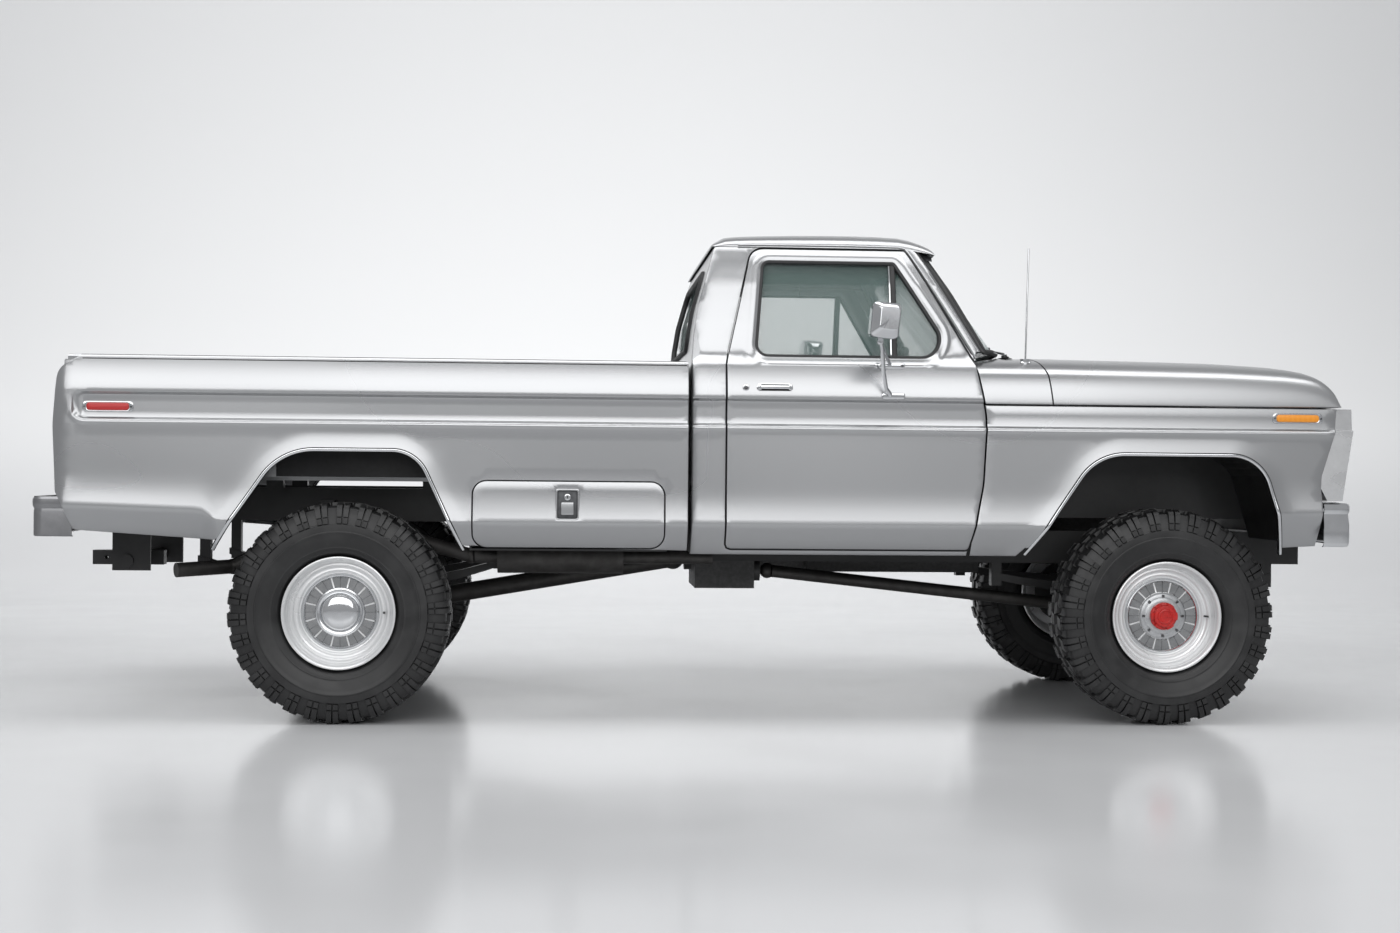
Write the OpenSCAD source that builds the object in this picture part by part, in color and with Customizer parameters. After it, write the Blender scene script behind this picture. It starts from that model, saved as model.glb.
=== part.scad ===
// Lifted off-road pickup, regular cab and long bed, about 5.5 m long.
// X points forward, Y to the left and Z up. The origin is on the ground, under the middle of the box.

/* [Overall] */
// Distance between the axles
wheelbase = 3380; // [3000:10:4100]
// Front axle to the foremost point of the front bumper
front_overhang = 850; // [810:5:1000]
// Rear axle to the rear face of the step bumper
rear_overhang = 1230; // [1200:5:1480]
// Width over the body sides
body_w = 2008; // [1960:2:2420]
// Gap between panels that move
panel_gap = 6; // [4:0.5:8]
// Gap between the cab and the bed
bed_gap = 14; // [8:1:40]

/* [Wheels] */
// Tyre diameter
tyre_d = 888; // [740:4:910]
// Tyre width
tyre_w = 318; // [265:2:330]
// Distance between the middles of the tyres on one axle
track = 1660; // [1620:5:1760]
// Diameter of the rim's inner barrel
barrel_d = 400; // [380:2:410]
// Radius of the wheel spindles
spindle_r = 30; // [20:1:36]
// Running gap of pins and spindles
pin_gap = 0.4; // [0.3:0.1:0.8]

/* [Chassis] */
// Height of the frame rails above the axle centres
suspension_h = 196; // [180:2:260]
// Height of a frame rail
rail_h = 140; // [110:2:168]
// Width of a frame rail
rail_w = 60; // [50:2:72]
// Width over the frame rails
frame_w = 860; // [800:5:880]
// Distance of each kingpin from the middle
kingpin_y = 700; // [690:2:705]
// Rise of the frame over the rear axle
kick_up = 160; // [130:2:165]

/* [Body] */
// Thickness of a door and of the cab's sides
door_t = 64; // [50:1:70]
// Thickness of fender, hood and cowl walls
shell_t = 26; // [16:1:30]
// Height of the bed's side rails above the sill
rail_top = 773; // [700:1:860]
// Half width between the bed's inner walls
bed_half = 850; // [800:5:870]

/* [Hitch] */
// Inside width of the receiver socket
receiver_in = 51; // [40:1:52]
// Diameter of the receiver's pin hole
receiver_pin_d = 16; // [13:0.5:17]
// Diameter of the ball hole in the bumper's step
ball_hole_d = 25.4; // [19:0.2:32]

/* [Hidden] */
$fn = 64;
seat_gap = 0.3;                         // between a hinge leaf and what it rests against
length = rear_overhang + wheelbase + front_overhang;
rear_x = rear_overhang - length / 2;    // rear axle
front_x = rear_x + wheelbase;           // front axle
axle_z = tyre_d / 2;
frame_z = axle_z + suspension_h;        // underside of the rails
mount_h = 10;                           // body mount pads
floor_t = 25;
floor_z = 100;                          // cab floor's underside above the sill
sill_z = frame_z + rail_h + mount_h - floor_z;
half_w = body_w / 2;
cab_back_x = -1970;                     // from the front axle
bed_front = wheelbase + cab_back_x - bed_gap; // from the rear axle
bed_floor_z = 282;
bed_floor_t = 28;
rail_y = frame_w / 2 - rail_w / 2;
door_front = -770;
door_rear = -1828;
diff_y = -250;                          // the front differential sits to the right

// ---- outlines -------------------------------------------------------------------------------------

function unit(v) = v / norm(v);
// Arc that rounds corner b between a and c, with radius b[2]
function corner(a, b, c, steps) =
  let (p = [b[0], b[1]], u = unit([a[0], a[1]] - p), v = unit([c[0], c[1]] - p), half = acos(u * v) / 2,
       o = p + unit(u + v) * b[2] / sin(half), s = p + u * b[2] / tan(half) - o,
       e = p + v * b[2] / tan(half) - o, sweep = 180 - 2 * half)
  [for (i = [0:steps]) o + (s * sin(sweep * (1 - i / steps)) + e * sin(sweep * i / steps)) / sin(sweep)];
// Closed outline from corners [x, y, radius]
function rounded(pts, steps = 6) =
  [for (i = [0:len(pts) - 1])
    let (n = len(pts), a = pts[(i + n - 1) % n], b = pts[i], c = pts[(i + 1) % n])
    each (b[2] > 0 ? corner(a, b, c, steps) : [[b[0], b[1]]])];
function reversed(p) = [for (i = [len(p) - 1:-1:0]) p[i]];

// Half width of the body against height above the sill: tuck-under, crease, channel, belt, window line
lower_skin = [[half_w - 64, 0], [half_w - 19, 125], [half_w, 290], [half_w, 524], [half_w - 16, 532],
  [half_w - 16, 624], [half_w, 632], [half_w - 4, 700], [half_w - 39, 775]];
upper_skin = [[half_w - 74, 810], [half_w - 99, 950], [half_w - 136, 1110], [half_w - 196, 1265]];
skin = concat(lower_skin, upper_skin);
// Shoulder of the hood and cowl
shoulder = [[half_w, 630], [half_w - 4, 700], [half_w - 34, 757], [half_w - 104, 795], [half_w - 304, 823],
  [350, 834]];
function inset(p, y, z = 0) = [for (q = p) [q[0] - y, q[1] - z]];
function both_sides(p) = concat(p, reversed([for (q = p) [-q[0], q[1]]]));

module along_x(x0, x1) translate([x0, 0, 0]) rotate([90, 0, 90]) linear_extrude(x1 - x0) children();
// Outline in X and Z, between two distances to the left
module along_y(y0, y1) translate([0, y1, 0]) rotate([90, 0, 0]) linear_extrude(y1 - y0) children();
module bar(a, b) translate(a) cube(b - a);
module rod(a, b, r) {
  d = b - a;
  translate(a) rotate([0, acos(d[2] / norm(d)), atan2(d[1], d[0])]) cylinder(h = norm(d), r = r);
}
module cross_rod(x, y0, y1, z, r) translate([x, y1, z]) rotate([90, 0, 0]) cylinder(h = y1 - y0, r = r);
module at_side(side) {
  if (side > 0) {
    children();
  } else {
    mirror([0, 1, 0]) children();
  }
}
module on_cab() translate([front_x, 0, sill_z]) children();
module on_bed() translate([rear_x, 0, sill_z]) children();
// Wall that follows the body side, from depth t0 to depth t1
module band(x0, x1, t0, t1, line = skin) along_x(x0, x1) polygon(concat(inset(line, t0),
  reversed(inset(line, t1))));
// Space between the two body sides, inside depth t
module core(x0, x1, t) along_x(x0, x1) polygon(both_sides(inset(skin, t)));

// ---- panel outlines: the cab and nose from the front axle, the bed from the rear axle --------------

function door_line(g = 0) = rounded([[door_rear - g, 24 - g, 20], [-834 + g, 24 - g, 12], [-784 + g,
  290, 400],
  [door_front + g, 560, 300], [-812 + g * 1.2, 788, 60], [-1082 + g * 1.2, 1257 + g, 14],
  [-1720 - g, 1257 + g, 60], [door_rear - g, 772, 80]]);
window_line = rounded([[-1712, 807, 50], [-884, 807, 80], [-1131, 1203, 15], [-1678, 1203, 30]]);
vent_bar_x = -1138;
function front_arch(g = 0) = rounded([[-630 - g, -40, 0], [-316 - g / 2, 422 + g, 220 + g],
  [370 + g / 2, 422 + g, 170 + g], [505 + g, -40, 0]]);
rear_arch = rounded([[-535, -40, 0], [-225, 410, 250], [308, 410, 150], [520, -40, 0]]);
hood_rear = -500;
cowl_front = hood_rear - panel_gap;
toolbox_x0 = bed_front - 862;
toolbox_x1 = bed_front - 95;
function toolbox_line(g = 0) = rounded([[toolbox_x0 - g, 23 - g, 55], [toolbox_x1 + g, 23 - g, 55],
  [toolbox_x1 + g, 290 + g, 55], [toolbox_x0 - g, 290 + g, 55]]);

// ---- chassis ---------------------------------------------------------------------------------------

rail_front = front_overhang - 110;
hitch_x = rear_overhang - 110;
module rail_line() polygon([[rear_x - rear_overhang + 170, frame_z + kick_up - 20],
  [rear_x - 500, frame_z + kick_up], [rear_x + 400, frame_z + kick_up], [rear_x + 800, frame_z],
  [front_x + rail_front, frame_z], [front_x + rail_front, frame_z + rail_h],
  [rear_x + 800, frame_z + rail_h], [rear_x + 400, frame_z + kick_up + rail_h],
  [rear_x - rear_overhang + 170, frame_z + kick_up + rail_h]]);

module ladder_frame() color("#1b1b1c") {
  for (s = [-1, 1]) {
    at_side(s) along_y(rail_y - rail_w / 2, rail_y + rail_w / 2) rail_line();
    // body mounts, bed sills and their brackets
    for (x = [-1850, -1250, -740]) translate([front_x + x, s * rail_y,
      frame_z + rail_h]) cylinder(h = mount_h, r = 28);
    for (x = [bed_front - 130, bed_front - 620])
      bar([rear_x + x - 40, s * rail_y - 29, frame_z + rail_h - 1], [rear_x + x + 40, s * rail_y + 29,
        sill_z + bed_floor_z]);
    for (x = [-820, -330, 330])
      bar([rear_x + x - 35, s * rail_y - 29, frame_z + kick_up + rail_h - 1],
          [rear_x + x + 35, s * rail_y + 29, sill_z + bed_floor_z]);
  }
  for (x = [rear_x + 900, rear_x + 1400, front_x + 695]) cross_rod(x, -rail_y, rail_y,
    frame_z + rail_h - 40, 30);
  for (x = [-790, -560, 480]) cross_rod(rear_x + x, -rail_y, rail_y, frame_z + kick_up + rail_h / 2, 38);
}

bumper_plate = 16;
step_half = 190;
step_z = 785;
module rear_bumper() color("#b4b6b6") translate([rear_x - rear_overhang, 0, sill_z - 690]) difference() {
  union() {
    bar([0, -900, 726], [bumper_plate, 900, 903]);
    bar([0, -900, 903 - bumper_plate], [165, -step_half + 1, 903]);
    bar([0, step_half - 1, 903 - bumper_plate], [165, 900, 903]);
    for (s = [-1, 1]) {
      at_side(s) bar([0, 900 - bumper_plate, 740], [165, 900, 903]);
      at_side(s) bar([0, step_half - bumper_plate, step_z - bumper_plate], [165, step_half, 903]);
      // arms to the frame rails
      at_side(s) bar([bumper_plate - 1, rail_y - 20, 790], [170, rail_y + 20, 880]);
    }
    bar([0, -step_half, step_z - bumper_plate], [165, step_half, step_z]);
  }
  bar([-1, -step_half + bumper_plate, step_z], [bumper_plate + 1, step_half - bumper_plate, 910]);
  translate([85, 0, step_z - 40]) cylinder(h = 80, d = ball_hole_d);
}

receiver_t = 6;
receiver_z = frame_z - 20;
module hitch_receiver() color("#202021") {
  out = receiver_in / 2 + receiver_t;
  difference() {
    union() {
      translate([rear_x - hitch_x, 0, receiver_z]) bar([-60, -out, -out], [250, out, out]);
      cross_rod(rear_x - hitch_x + 160, -rail_y + 20, rail_y - 20, receiver_z, 30);
      for (s = [-1, 1]) at_side(s)
        bar([rear_x - hitch_x + 100, rail_y - rail_w / 2 - 14, receiver_z - 40],
            [rear_x - hitch_x + 260, rail_y - rail_w / 2, frame_z + kick_up + 90]);
    }
    translate([rear_x - hitch_x, 0, receiver_z])
      bar([-61, -receiver_in / 2, -receiver_in / 2], [200, receiver_in / 2, receiver_in / 2]);
    cross_rod(rear_x - hitch_x, -200, 200, receiver_z, receiver_pin_d / 2);
  }
}

module engine() color("#5c5f5e") translate([front_x, 0, frame_z]) {
  union() {
    bar([-620, -170, -15], [-30, 170, 330]);
    for (s = [-1, 1]) at_side(s) translate([-610, 90, 190]) rotate([-40, 0, 0]) bar([0, 0, 0], [560,
      150, 190]);
    translate([-330, 0, 300]) cylinder(h = 250, r = 60);
    translate([-330, 0, 520]) cylinder(h = 85, r = 190);
    bar([-1400, -130, -60], [-619, 130, 90]);
    // mounts on the rails
    bar([-360, -rail_y + rail_w / 2, 60], [-300, rail_y - rail_w / 2, 110]);
  }
}

case_x = -1650;
module transfer_case() color("#6a6c6b") translate([front_x, 0, frame_z]) union() {
  bar([case_x - 260, -320, -125], [case_x, 110, 75]);
  translate([case_x - 1, 0, 10]) rotate([0, 90, 0]) cylinder(h = 251, r = 70);
  translate([case_x - 1, diff_y, -50]) rotate([0, 90, 0]) cylinder(h = 30, r = 45);
  translate([case_x - 290, 0, -10]) rotate([0, 90, 0]) cylinder(h = 31, r = 50);
  bar([case_x - 160, -rail_y + rail_w / 2, 20], [case_x - 100, rail_y - rail_w / 2, 60]);
}

tube_r = 40;
diff_r = 118;
yoke = 95;                               // half height of a steering yoke
module front_axle() color("#26282a") translate([front_x, 0, axle_z]) difference() {
  union() {
    cross_rod(0, -640, 640, 0, tube_r);
    translate([0, diff_y, 0]) sphere(r = diff_r);
    translate([-190, diff_y, 0]) rotate([0, 90, 0]) cylinder(h = 150, r = 55);
    for (s = [-1, 1]) at_side(s) {
      bar([-45, 625, -yoke - 22], [45, 645, yoke + 22]);
      bar([-45, 644, yoke], [45, kingpin_y + 25, yoke + 22]);
      bar([-45, 644, -yoke - 22], [45, kingpin_y + 25, -yoke]);
      // spring pads
      bar([-60, rail_y - 38, -40], [60, rail_y + 38, pad_top]);
    }
  }
  for (s = [-1, 1]) translate([0, s * kingpin_y, -200]) cylinder(h = 400, r = 14 + pin_gap);
}
pad_top = 55;

rear_tube_r = 48;
pinion_len = 230;
module rear_axle() color("#26282a") translate([rear_x, 0, axle_z]) union() {
  cross_rod(0, -710, 710, 0, rear_tube_r);
  sphere(r = 150);
  rotate([0, 90, 0]) cylinder(h = pinion_len, r = 60);
  for (s = [-1, 1]) at_side(s) {
    cross_rod(0, 700, spindle_end, 0, spindle_r);
    cross_rod(0, 700, 730, 0, 150);
    bar([-60, rail_y - 38, -45], [60, rail_y + 38, pad_top]);
  }
}

// Tube between two round joints
module shaft(a, b, r) {
  rod(a, b, r * 0.8);
  translate(a) sphere(r = r);
  translate(b) sphere(r = r);
}
module driveshafts() color("#55585a") {
  shaft([front_x + case_x + 29 + front_joint + seat_gap, diff_y, frame_z - 50],
        [front_x - 190 - front_joint - seat_gap, diff_y, axle_z], front_joint);
  shaft([front_x + case_x - 290 - rear_joint - seat_gap, 0, frame_z - 10],
        [rear_x + pinion_len + rear_joint + seat_gap, 0, axle_z], rear_joint);
}
front_joint = 34;
rear_joint = 50;

spring_t = 44;
// Bowed leaf pack from its centre: half length, rise of the eyes
module leaf_pack(half, rise) along_y(rail_y - 32, rail_y + 32)
  polygon(concat([for (i = [-8:8]) [half * i / 8, rise * pow(i / 8, 2)]],
    [for (i = [8:-1:-8]) [half * i / 8, rise * pow(i / 8, 2) + spring_t * (1.15 - 0.5 * abs(i / 8))]]));
module leaf_springs() color("#1d1d1e") {
  for (s = [-1, 1]) at_side(s) {
    // front and rear packs sit on the axle pads and reach up to the rails
    translate([front_x, 0, axle_z + pad_top]) leaf_pack(620, suspension_h - pad_top - 70);
    for (x = [-600, 600]) translate([front_x + x, 0, 0])
      bar([-22, rail_y - 26, axle_z + pad_top + 40], [22, rail_y + 26, frame_z]);
    translate([rear_x, 0, axle_z + pad_top]) leaf_pack(650, suspension_h - pad_top - 20);
    translate([rear_x - 620, 0, 0]) bar([-22, rail_y - 26, frame_z - 40], [22, rail_y + 26,
      frame_z + kick_up - 18]);
    translate([rear_x + 620, 0, 0]) bar([-22, rail_y - 26, frame_z - 40], [22, rail_y + 26, frame_z + 60]);
    bar([rear_x - 45, rail_y - 30, axle_z + pad_top + 50], [rear_x + 45, rail_y + 30,
      axle_z + pad_top + 110]);
  }
}

shock_y = 488;
module shock_absorbers() color("#7d1f22") for (s = [-1, 1]) at_side(s) {
  rod([front_x - 70, shock_y, axle_z + 10], [front_x - 70, shock_y, frame_z + 300], 24);
  bar([front_x - 110, shock_y - 20, axle_z - 20], [front_x - tube_r - seat_gap, shock_y + 20, axle_z + 20]);
  rod([front_x - 70, shock_y, axle_z + 140], [front_x - 70, shock_y, frame_z + 240], 34);
  bar([front_x - 100, rail_y + rail_w / 2, frame_z + 60], [front_x - 40, shock_y + 20, frame_z + 120]);
  rod([rear_x - 100, shock_y, axle_z + 10], [rear_x - 100, shock_y, frame_z + kick_up + 60], 32);
  bar([rear_x - 130, rail_y + rail_w / 2, frame_z + kick_up + 40], [rear_x - 70, shock_y + 20,
    frame_z + kick_up + 90]);
  bar([rear_x - 130, shock_y - 20, axle_z - 20], [rear_x - rear_tube_r - seat_gap, shock_y + 20,
    axle_z + 20]);
}

pipe_y = -535;
// from the muffler over the rear axle to the tip behind the right rear wheel
tail_pipe = [[510, 0, 20], [260, -30, 90], [-250, -30, 90], [-480, -30, -30], [-690, -160, -40]];
module exhaust() color("#77736d") union() {
  rod([front_x - 1850, pipe_y, frame_z + 20], [rear_x + 500, pipe_y, frame_z + 20], 30);
  rod([rear_x + 620, pipe_y, frame_z + 20], [rear_x + 1150, pipe_y, frame_z + 20], 72);
  for (i = [0:len(tail_pipe) - 2]) rod([rear_x, pipe_y, frame_z] + tail_pipe[i], [rear_x, pipe_y,
    frame_z] + tail_pipe[i + 1], 30);
  for (i = [0:len(tail_pipe) - 2]) translate([rear_x, pipe_y, frame_z] + tail_pipe[i]) sphere(r = 33);
  // hangers to the rail
  for (x = [700, 1050]) bar([rear_x + x - 15, pipe_y + 60, frame_z + 40], [rear_x + x + 15,
    -rail_y - rail_w / 2, frame_z + 60]);
}

module fuel_tank() color("#2a2a2b") union() {
  translate([rear_x, 0, frame_z]) along_y(rail_y + rail_w / 2 + 20, 820)
    polygon(rounded([[560, 60, 50], [1330, 60, 50], [1330, 290, 50], [560, 290, 50]]));
  for (x = [rear_x + 850, rear_x + 1150])
    bar([x - 20, rail_y + rail_w / 2, frame_z + 80], [x + 20, rail_y + rail_w / 2 + 21, frame_z + 120]);
}

// ---- nose ------------------------------------------------------------------------------------------

corner_back = 215;                       // how far the bumper's ends wrap back
module bumper_line(g) polygon([[front_overhang - g, 0], [front_overhang - 14 - g, 520],
  [front_overhang - 55 - g, 860], [front_overhang - 90 - g, half_w - 24 - g],
    [front_overhang - 120 - g, half_w - 4 - g],
  [front_overhang - corner_back, half_w - g], [front_overhang - corner_back, 0]]);
module front_bumper() color("#d5d8da") translate([front_x, 0, sill_z]) difference() {
  for (s = [-1, 1]) at_side(s) translate([0, 0, 46]) linear_extrude(184) bumper_line(0);
  for (s = [-1, 1]) at_side(s) translate([0, 0, 66]) linear_extrude(144) bumper_line(20);
  bar([0, -half_w + 60, 40], [front_overhang - 110, half_w - 60, 240]);
  for (s = [-1, 1]) at_side(s) translate([0, 0, 40]) linear_extrude(200) polygon([[0, 0],
    [front_overhang - 110, 0], [front_overhang - 110, half_w - 60], [front_overhang - corner_back - 1,
      half_w - 22], [0, half_w - 22]]);
}

lamp_y = 770;
lamp_z = 430;
lamp_r = 98;
grille_line = [[690.5, 616], [753, 616], [757, 528], [722, 300], [716, 238], [652, 238], [622.5, 289],
  [624.5, 340],
  [684.5, 532]];
module grille() color("#9fa2a2") on_cab() difference() {
  intersection() {
    along_y(-half_w, half_w) polygon(grille_line);
    core(600, 800, 3);
  }
  for (s = [-1, 1]) translate([500, s * lamp_y, lamp_z]) rotate([0, 90, 0]) cylinder(h = 400,
    r = lamp_r + 0.3);
  // air opening between the lamps
  bar([600, -620, 330], [800, 620, 560]);
  bar([560, -940, 200], [650, 940, 650]);
}
module headlights() color("#dfe6ea") on_cab() for (s = [-1, 1])
  translate([650, s * lamp_y, lamp_z]) rotate([0, 90, 0]) cylinder(h = 88, r = lamp_r);

// Core support with the radiator between the inner fenders
module radiator() color("#2b2c2d") on_cab() union() {
  bar([560, -420, floor_z], [615, 420, 590]);
  bar([600, -870, floor_z - mount_h], [618, 870, 606]);
}

liner_t = 10;
liner_y = 545;
module inner_fenders() color("#242526") on_cab() for (s = [-1, 1]) at_side(s) {
  difference() {
    intersection() {
      along_y(liner_y - 1, half_w) polygon(front_arch(liner_t + 6));
      along_x(-900, 592) polygon(concat([[0, 70]], inset(lower_skin, shell_t + seat_gap), [[0, 775]]));
    }
    along_y(0, half_w) polygon(front_arch(6));
    bar([-900, 0, -100], [900, half_w, 70]);
  }
  bar([-664, liner_y - 12, 150], [600 - seat_gap, liner_y, 445]);
}

fender_rear = door_front + panel_gap;
module fender_body() on_cab() difference() {
  intersection() {
    band(-850, 700, 0, shell_t, lower_skin);
    along_y(0, half_w + 1) polygon(rounded([[-900, 0, 0], [-632, 0, 0], [-600, 34, 0], [495, 42, 0],
      [629, 49, 0],
      [627, 230, 0], [622, 289, 0], [624, 340, 0], [684, 532, 0], [690, 616, 0], [-900, 616, 0]]));
  }
  along_y(0, half_w + 2) polygon(door_line(panel_gap));
  bar([-900, 0, -10], [-828, half_w + 2, 640]);
  along_y(0, half_w + 2) polygon(front_arch());
}
module right_fender() color("#b4b6b6") mirror([0, 1, 0]) fender_body();
module left_fender() color("#b4b6b6") fender_body();

function hood_top(g) = [[-560 - g, 560], [-560 - g, 838 - g], [224 - g, 826 - g], [479 - g, 812 - g],
  [606 - g, 796 - g], [696 - g, 776 - g], [734 - g, 752 - g], [750 - g, 714 - g], [752 - g, 620],
    [752 - g, 560]];
hinge_x = -552;
hinge_z = 836;
module hood() color("#b4b6b6") union() {
  hood_shell();
  hood_hinges();
}
module hood_shell() on_cab() difference() {
  intersection() {
    along_y(-half_w, half_w) polygon(hood_top(0));
    along_x(-700, 800) polygon(concat(both_sides(concat([[half_w, 622]], shoulder))));
  }
  intersection() {
    along_y(-half_w, half_w) polygon(concat([[-900, 560], [-900, 838 - shell_t]],
      [for (i = [2:9]) hood_top(shell_t)[i]]));
    along_x(-900, 800) polygon(both_sides(concat([[half_w - shell_t, 500]], inset(shoulder, shell_t,
      shell_t))));
  }
  // rear edge that leans forward over the shoulder
  along_y(-half_w - 1, half_w + 1) polygon([[-700, 500], [hood_rear + 6, 500], [hood_rear + 6, 622],
    [hood_rear - 8, 740], [hood_rear - 34, 800], [hinge_x + 4, 840], [-700, 840]]);
  bar([-900, -half_w - 1, 500], [900, half_w + 1, 622]);
}
// Hinge straps under the hood's rear edge, closing against the cowl's front wall
module hood_hinges() on_cab() for (y = [-500, 500]) {
  bar([cowl_front + 4 + seat_gap, y - 20, 640], [hood_rear + 30, y + 20, 700]);
  bar([hood_rear + 2, y - 20, 699], [hood_rear + 30, y + 20, 812]);
}

module cowl() color("#a9abab") on_cab() difference() {
  intersection() {
    along_y(-half_w, half_w) polygon([[-850, 622], [cowl_front + 6, 622], [cowl_front - 8, 740],
      [cowl_front - 34, 800],
      [hinge_x - panel_gap, 834], [-850, 834]]);
    along_x(-900, 0) polygon(both_sides(concat([[half_w, 622]], shoulder)));
  }
  intersection() {
    bar([-900, -half_w, 600], [-575, half_w, 900]);
    along_x(-950, 0) polygon(both_sides(concat([[half_w - shell_t, 500]], inset(shoulder, shell_t,
      shell_t))));
  }
  for (s = [-1, 1]) at_side(s) along_y(500, half_w + 2) polygon(door_line(panel_gap));
  bar([-900, -half_w, 500], [-828, half_w, 900]);
  translate([-585, antenna_y, 700]) cylinder(h = 200, r = antenna_r + seat_gap);
}

// ---- cab -------------------------------------------------------------------------------------------

sill_y = half_w - 224;
firewall_x = -700;
back_t = 42;
module cab_floor() color("#3a3b3c") on_cab() union() {
  bar([cab_back_x + back_t, -pillar_y + 1, floor_z], [firewall_x, pillar_y - 1, floor_z + floor_t]);
  intersection() {
    bar([firewall_x - 1, -half_w + 99, floor_z], [firewall_x + 20, half_w - 99, 900]);
    along_x(-800, 0) polygon(both_sides(concat([[half_w - shell_t, -10]], inset(shoulder, shell_t,
      shell_t))));
  }
}

function back_line(t, foot) = [[cab_back_x + t, foot], [cab_back_x + t, 800], [cab_back_x + 25 + t,
  1010], [cab_back_x + 98 + t, 1265]];
module cab_back() color("#b4b6b6") on_cab() difference() {
  intersection() {
    along_y(-half_w, half_w) polygon(concat(back_line(0, floor_z), reversed(back_line(back_t, floor_z))));
    core(-2100, -1700, door_t);
  }
  bar([-2100, -rear_glass_half, 850], [-1700, rear_glass_half, 1180]);
}
rear_glass_half = 560;
module rear_window() color("#9fb3ae") on_cab() intersection() {
  along_y(-rear_glass_half, rear_glass_half) polygon(concat(back_line(16, 0), reversed(back_line(24, 0))));
  bar([-2100, -rear_glass_half, 850], [-1700, rear_glass_half, 1180]);
}

module cab_side() on_cab() union() {
  difference() {
    intersection() {
      band(-2000, -780, 0, door_t);
      along_y(0, half_w + 1) polygon(concat(back_line(0, 0), [[-1050, 1265], [-800, 842], [-790, 790],
        [-790, 0]]));
    }
    along_y(0, half_w + 2) polygon(door_line(panel_gap));
    bar([-860, 0, 19], [0, half_w + 2, 806]);
    bar([fender_foot - panel_gap, 0, -1], [0, half_w + 2, 20]);
  }
  // sill and hinge pillar
  bar([cab_back_x, sill_y, 0], [firewall_x - 2, half_w - 126, floor_z]);
  bar([cab_back_x, half_w - 130, 0], [-858, half_w - 110, 18]);
  bar([hinge_pillar_x, pillar_y, 0], [firewall_x - 2, half_w - 102, 750]);
  // tie from the hinge pillar behind the door's edge and over the cowl to the windshield pillar
  bar([-864, pillar_y - 16, 700], [hinge_pillar_x + 1, half_w - 112, 750]);
  bar([-864, pillar_y - 16, 700], [-834, half_w - 146, 828]);
  bar([-864, pillar_y - 16, 806], [-797, half_w - 146, 828]);
  bar([-819, half_w - 147, 806], [-797, half_w - 124, 828]);
}
fender_foot = -828;
pillar_y = half_w - 168;
hinge_pillar_x = door_front + 5;
module right_cab_side() color("#b4b6b6") mirror([0, 1, 0]) cab_side();
module left_cab_side() color("#b4b6b6") cab_side();

module roof_shape(x0, x1, drop) intersection() {
  along_y(-half_w, half_w) polygon([[x0, 1265], [x0 + 32, 1303 - drop], [x0 + 61, 1324 - drop],
    [x0 + 228, 1335 - drop],
    [-1300, 1342 - drop], [-1090, 1336 - drop], [x1 - 72, 1322 - drop], [x1 - 25, 1306 - drop], [x1,
      1265]]);
  along_x(-2100, -800) polygon(both_sides([[half_w - 196 - drop, 1265], [half_w - 214 - drop, 1300 - drop],
    [half_w - 304, 1328 - drop], [half_w - 604, 1342 - drop]]));
}
module roof() color("#b4b6b6") on_cab() difference() {
  roof_shape(-1885, -930, 0);
  roof_shape(-1835, -990, 26);
  bar([-2000, -half_w, 1200], [0, half_w, 1265]);
}

glass_lean = 37;
glass_half = half_w - 154;
// Bow of the glass: how far each point from the middle outwards lies back
glass_bow = [[0, 0], [-8, glass_half - 450], [-30, glass_half - 200], [-75, glass_half - 70], [-130,
  glass_half]];
module windshield() color("#9fb3ae") on_cab() intersection() {
  translate([-633, 0, 840]) rotate([0, -glass_lean, 0]) linear_extrude(600)
    for (s = [1, -1]) polygon([for (p = concat(glass_bow, reversed([for (q = glass_bow) q - [9.5, 0]])))
      [p[0], s * p[1]]]);
  bar([-1200, -half_w, 838], [-500, half_w, 1264]);
  core(-1200, -500, door_t);
}

wheel_x = -970;
wheel_y = 400;
wheel_z = 750;
column_lean = 30;
module dashboard() color("#2c2d2f") on_cab() union() {
  along_y(-half_w + 190, half_w - 190)
    polygon([[-930, 640], [-930, 740], [-890, 765], [firewall_x - 1, 765], [firewall_x - 1, 560],
      [-880, 560]]);
  // column, with a stub that carries the wheel's hub
  translate([wheel_x, wheel_y, wheel_z]) rotate([0, 90 + column_lean, 0]) {
    translate([0, 0, hub_back + seat_gap]) cylinder(h = 278, r = 24);
    translate([0, 0, -stub_len]) cylinder(h = stub_len + hub_back + 2, r = stub_r);
  }
}

module bench_seat() color("#4d4f52") on_cab() union() {
  bar([-1760, -640, floor_z + floor_t], [-1250, 640, 235]);
  along_y(-660, 660) polygon(rounded([[-1850, 234, 10], [-1210, 234, 40], [-1200, 440, 60], [-1700,
    400, 10], [-1760, 870, 50],
    [-1870, 870, 40]]));
}

antenna_y = -half_w + 130;
antenna_r = 20;
module antenna() color("#c9cdd0") on_cab() union() {
  translate([-585, antenna_y, 770]) cylinder(h = 42, r = antenna_r);
  rod([-585, antenna_y, 790], [-575, antenna_y, 1270], 3.5);
}

// ---- doors -----------------------------------------------------------------------------------------

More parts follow.
